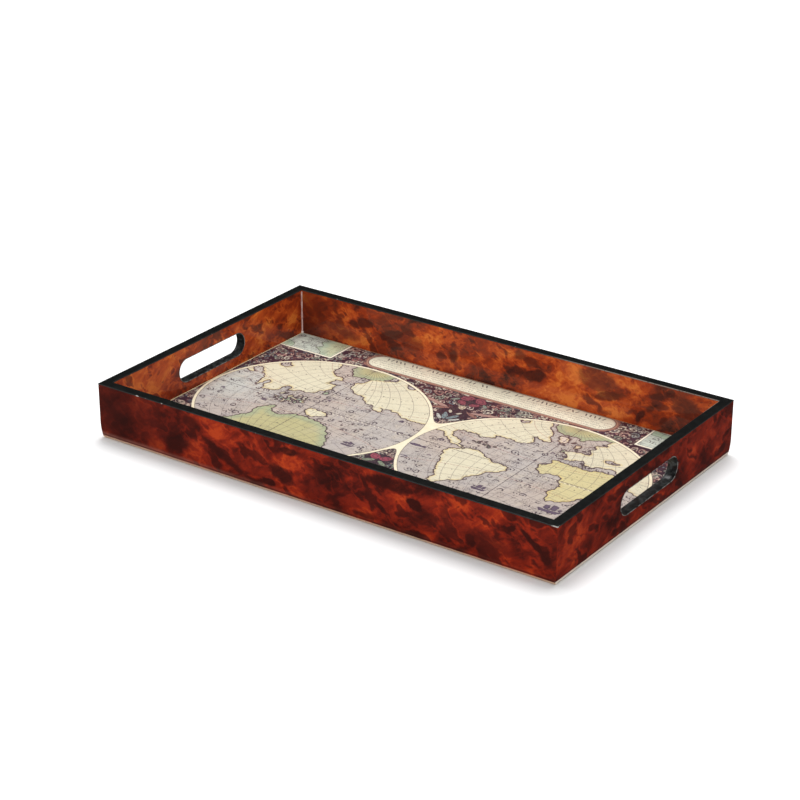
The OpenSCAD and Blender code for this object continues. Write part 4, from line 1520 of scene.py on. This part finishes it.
class TRAY_OT_corner_beads(bpy.types.Operator):
    """A hollow-faced bead of lacquer up each inner corner, with a drop at its foot"""

    bl_idname = "tray.corner_beads"
    bl_label = "Corner Beads"

    def execute(self, context):
        sizes = context.scene.tray_sizes
        draw = random.Random(7)
        beads = []
        for i in (1, -1):
            for j in (1, -1):
                beads.append(self.bead(sizes, i, j, draw))
        clear_selection()
        for bead in beads:
            bead.select_set(True)
        context.view_layer.objects.active = beads[0]
        bpy.ops.object.join()
        beads[0].name = "corner_lacquer"
        dress(beads[0], bead_finish(), ["corner_beads"])
        return {"FINISHED"}

    @staticmethod
    def bead(sizes, i, j, draw):
        """One bead: a quarter circle's hollow filled to the corner, run up in uneven lengths."""
        corner = Vector((i * BEAD_HIGH.x, j * BEAD_HIGH.y, BEAD_LOW.z))
        width = sizes.bead_width
        centre = corner - Vector((i * width, j * width, 0))
        bpy.ops.mesh.primitive_circle_add(
            vertices=32, radius=width, location=centre, fill_type="NOTHING",
        )
        bead = place("bead")
        edit(bead, "VERT")
        tiny = 0.01 * MM
        pick(bead, "VERT", lambda vert: (
            (vert.co.x - centre.x) * i < -tiny or (vert.co.y - centre.y) * j < -tiny
        ))
        bpy.ops.mesh.delete(type="VERT")
        bpy.ops.mesh.select_all(action="SELECT")
        bpy.ops.mesh.extrude_edges_move(TRANSFORM_OT_translate={"value": (0, 0, 0)})
        bpy.ops.mesh.merge(type="CENTER")
        mesh = bmesh.from_edit_mesh(bead.data)
        gathered = next(vert for vert in mesh.verts if vert.select)
        bpy.ops.transform.translate(value=corner - gathered.co)
        bpy.ops.mesh.select_all(action="SELECT")
        floor = (corner.x, corner.y)
        levels = [0.0, 0.35, 0.8, 1.5, 3.0, 7.0, 12.0, 18.0, 25.0, 32.0, 38.0, 42.0]
        top = (BEAD_HIGH.z - BEAD_LOW.z) / MM
        widths = [1.75, 1.62, 1.40, 1.12, 0.95]
        size = 1.0
        for k, level in enumerate(levels + [top]):
            if k:
                climb = level - (levels + [top])[k - 1]
                bpy.ops.mesh.extrude_region_move(
                    TRANSFORM_OT_translate={"value": (0, 0, climb * MM)}
                )
            wanted = widths[k] if k < len(widths) else draw.uniform(0.72, 1.02)
            height = BEAD_LOW.z + level * MM
            bpy.ops.transform.resize(
                value=(wanted / size, wanted / size, 1), center_override=(*floor, height),
            )
            size = wanted
        close(bead, 60)
        radius = sizes.blob * draw.uniform(0.75, 1.0)
        bpy.ops.object.select_all(action="DESELECT")
        bpy.ops.mesh.primitive_ico_sphere_add(
            subdivisions=3, radius=radius, scale=(1.0, 0.9, 0.55),
            location=corner - Vector((i * 1.15 * MM, j * 1.1 * MM, 0)),
        )
        drop_piece = place("drop")
        edit(drop_piece, "VERT")
        pick(drop_piece, "VERT", lambda vert: vert.co.z < BEAD_LOW.z)
        bpy.ops.transform.resize(value=(1, 1, 0.02), center_override=(0, 0, BEAD_LOW.z))
        close(drop_piece, 60)
        only(drop_piece)
        bead.select_set(True)
        bpy.context.view_layer.objects.active = bead
        bpy.ops.object.join()
        return bead


class TRAY_OT_printed_chart(bpy.types.Operator):
    """The printed sheet, on a fine grid whose points hold how far off the coasts are"""

    bl_idname = "tray.printed_chart"
    bl_label = "Printed Chart"

    def execute(self, context):
        pitch = context.scene.tray_sizes.chart_pitch
        size = CHART_HIGH - CHART_LOW
        across = round(size.x / pitch)
        along = round(size.y / pitch)
        bpy.ops.mesh.primitive_grid_add(
            x_subdivisions=across, y_subdivisions=along, size=2, location=(0, 0, CHART_HIGH.z),
        )
        sheet = place("printed_chart")
        edit(sheet, "VERT")
        bpy.ops.mesh.select_all(action="SELECT")
        bpy.ops.transform.resize(value=(CHART_HIGH.x, CHART_HIGH.y, 1))
        # The edge is turned down to the panel and closed with one fan underneath.

        def outline(edge):
            return len(edge.link_faces) == 1

        pick(sheet, "EDGE", outline)
        bpy.ops.mesh.extrude_edges_move(
            TRANSFORM_OT_translate={"value": (0, 0, CHART_LOW.z - CHART_HIGH.z)}
        )
        bpy.ops.mesh.extrude_edges_move(TRANSFORM_OT_translate={"value": (0, 0, 0)})
        bpy.ops.mesh.select_mode(type="VERT")
        bpy.ops.mesh.merge(type="CENTER")
        bpy.ops.object.mode_set(mode="OBJECT")
        only(sheet)
        bpy.ops.object.shade_smooth_by_angle(angle=math.radians(30))
        self.store_drawing(sheet, across, along)
        dress(sheet, chart_finish(context.scene.tray_colours), ["map_print"])
        return {"FINISHED"}

    @staticmethod
    def store_drawing(sheet, across, along):
        """Writes the distances and washes of the drawing to the sheet's points."""
        xs = np.linspace(CHART_LOW.x, CHART_HIGH.x, across + 1) / MM
        ys = np.linspace(CHART_LOW.y, CHART_HIGH.y, along + 1) / MM
        lands = draw_lands(xs, ys)
        vessels = draw_vessels(xs, ys)
        count = len(sheet.data.vertices)
        places = np.empty(count * 3)
        sheet.data.vertices.foreach_get("co", places)
        places = places.reshape(-1, 3) / MM
        column = np.clip(np.rint((places[:, 0] - xs[0]) / (xs[1] - xs[0])).astype(int), 0, across)
        row = np.clip(np.rint((places[:, 1] - ys[0]) / (ys[1] - ys[0])).astype(int), 0, along)
        for name, field in (("coast", lands), ("vessel", vessels)):
            held = sheet.data.attributes.new(name, "FLOAT", "POINT")
            held.data.foreach_set("value", field.reach[row, column].astype(np.float32))
        wash = np.ones((count, 4), dtype=np.float32)
        wash[:, :3] = lands.tint[row, column]
        held = sheet.data.attributes.new("wash", "FLOAT_COLOR", "POINT")
        held.data.foreach_set("color", wash.ravel())


class TRAY_OT_felt_sheet(bpy.types.Operator):
    """The felt glued under the tray, with round corners and a soft cut edge"""

    bl_idname = "tray.felt_sheet"
    bl_label = "Felt"

    def execute(self, context):
        sizes = context.scene.tray_sizes
        size = FELT_HIGH - FELT_LOW
        bpy.ops.mesh.primitive_plane_add(size=2, location=(0, 0, FELT_LOW.z))
        felt = place("felt_sheet")
        edit(felt, "VERT")
        bpy.ops.mesh.select_all(action="SELECT")
        bpy.ops.transform.resize(value=(size.x / 2, size.y / 2, 1))
        bpy.ops.mesh.bevel(offset=FELT_CORNER, segments=10, profile=0.5, affect="VERTICES")
        bpy.ops.mesh.select_all(action="SELECT")
        bpy.ops.mesh.extrude_region_move(TRANSFORM_OT_translate={"value": (0, 0, size.z)})
        close(felt, 50)
        modify(
            felt, "BEVEL", width=sizes.felt_edge, segments=2, limit_method="ANGLE",
            angle_limit=math.radians(60),
        )
        dress(felt, felt_finish(context.scene.tray_colours), ["felt_backing"])
        return {"FINISHED"}


class TRAY_OT_boards(bpy.types.Operator):
    """Finishes of the parts that stay as the CAD has them: boards, brads and pins"""

    bl_idname = "tray.boards"
    bl_label = "Boards and Nails"

    def execute(self, context):
        board = board_finish()
        for name in [side + "_wall_core" for side in SIDES] + ["base_panel"]:
            dress_node(name, board)
        steel = nail_finish()
        for name in ("corner_brads", "base_pins"):
            dress_node(name, steel)
        return {"FINISHED"}


class TRAY_OT_studio(bpy.types.Operator):
    """A pale floor, soft studio light and the camera"""

    bl_idname = "tray.studio"
    bl_label = "Studio"

    def execute(self, context):
        clear_selection()
        bpy.ops.mesh.primitive_plane_add(size=30, location=(0, 0, 0))
        floor = place("floor")
        bench = Bench("studio floor")
        grain = bench.noise(bench.place, 400.0, 3.0, 0.5, 1.0)
        floor.data.materials.append(bench.finish(
            Base_Color=bench.mix(grain, (0.86, 0.86, 0.86), (0.90, 0.90, 0.90)), Roughness=0.9,
            Specular_IOR_Level=0.0,
        ))
        floor.visible_glossy = False
        for name, where, size, power in (
            ("overhead", (-0.28, 0.56, 2.3), 1.6, 66),
            ("front_fill", (0.9, -2.8, 1.0), 1.9, 28),
            ("left_fill", (-2.4, -1.2, 1.4), 1.6, 9),
        ):
            bpy.ops.object.light_add(type="AREA", location=where)
            lamp = context.object
            lamp.name = name
            lamp.data.shape = "SQUARE"
            lamp.data.size = size
            lamp.data.energy = power
            lamp.rotation_euler = (-Vector(where)).to_track_quat("-Z", "Y").to_euler()
        self.surroundings(context.scene)
        self.camera(context)
        context.scene.view_settings.view_transform = "Standard"
        return {"FINISHED"}

    @staticmethod
    def surroundings(scene):
        """White behind the tray, grey light on it, and dark walls for gloss to mirror."""
        world = bpy.data.worlds.new("studio")
        world.use_nodes = True
        tree = world.node_tree
        tree.nodes.clear()
        path = tree.nodes.new("ShaderNodeLightPath")
        output = tree.nodes.new("ShaderNodeOutputWorld")
        shades = {}
        for name, strength in (
            ("seen", 1.0), ("mirrored", 0.045), ("lighting", 0.48),
        ):
            shade = tree.nodes.new("ShaderNodeBackground")
            shade.inputs["Color"].default_value = (1, 1, 1, 1)
            shade.inputs["Strength"].default_value = strength
            shades[name] = shade.outputs[0]
        for test, yes, no in (
            ("Is Glossy Ray", "mirrored", "lighting"), ("Is Camera Ray", "seen", "glossy_or_not"),
        ):
            chooser = tree.nodes.new("ShaderNodeMixShader")
            tree.links.new(path.outputs[test], chooser.inputs[0])
            tree.links.new(shades[no], chooser.inputs[1])
            tree.links.new(shades[yes], chooser.inputs[2])
            shades["glossy_or_not"] = chooser.outputs[0]
        tree.links.new(shades["glossy_or_not"], output.inputs["Surface"])
        scene.world = world

    @staticmethod
    def camera(context):
        """The camera, at the view's angles."""
        view = context.scene.tray_view
        target = Vector((view.target_x, view.target_y, view.target_z))
        back = Vector((
            math.sin(view.azimuth) * math.cos(view.elevation),
            -math.cos(view.azimuth) * math.cos(view.elevation),
            math.sin(view.elevation),
        ))
        bpy.ops.object.camera_add(location=target + back * view.distance)
        camera = context.object
        camera.name = "view"
        camera.data.lens = view.lens
        camera.data.sensor_width = 36
        camera.data.clip_end = 60
        camera.rotation_euler = (-back).to_track_quat("-Z", "Y").to_euler()
        context.scene.camera = camera


class TRAY_PT_panel(bpy.types.Panel):
    """Lists the tray's steps and sizes"""

    bl_idname = "TRAY_PT_panel"
    bl_label = "Serving Tray"
    bl_space_type = "VIEW_3D"
    bl_region_type = "UI"
    bl_category = "Tray"

    def draw(self, context):
        for step in STEPS:
            self.layout.operator(step.bl_idname)
        for group in (context.scene.tray_sizes, context.scene.tray_colours, context.scene.tray_view):
            box = self.layout.box()
            for name in group.__annotations__:
                box.prop(group, name)


STEPS = (
    TRAY_OT_studio, TRAY_OT_boards, TRAY_OT_outer_burl, TRAY_OT_inner_burl, TRAY_OT_rim_bands,
    TRAY_OT_slot_linings, TRAY_OT_corner_beads, TRAY_OT_printed_chart, TRAY_OT_felt_sheet,
)
GROUPS = (
    ("tray_sizes", TraySizes), ("tray_colours", TrayColours), ("tray_view", TrayView),
)


def register():
    """Registers the groups, the steps and the panel."""
    for name, group in GROUPS:
        bpy.utils.register_class(group)
        setattr(bpy.types.Scene, name, bpy.props.PointerProperty(type=group))
    for step in STEPS:
        bpy.utils.register_class(step)
    bpy.utils.register_class(TRAY_PT_panel)


def unregister():
    """Takes away all that register added."""
    bpy.utils.unregister_class(TRAY_PT_panel)
    for step in reversed(STEPS):
        bpy.utils.unregister_class(step)
    for name, group in reversed(GROUPS):
        delattr(bpy.types.Scene, name)
        bpy.utils.unregister_class(group)


def main():
    """Runs every step."""
    register()
    for step in STEPS:
        family, name = step.bl_idname.split(".")
        getattr(getattr(bpy.ops, family), name)()


if __name__ == "__main__":
    main()
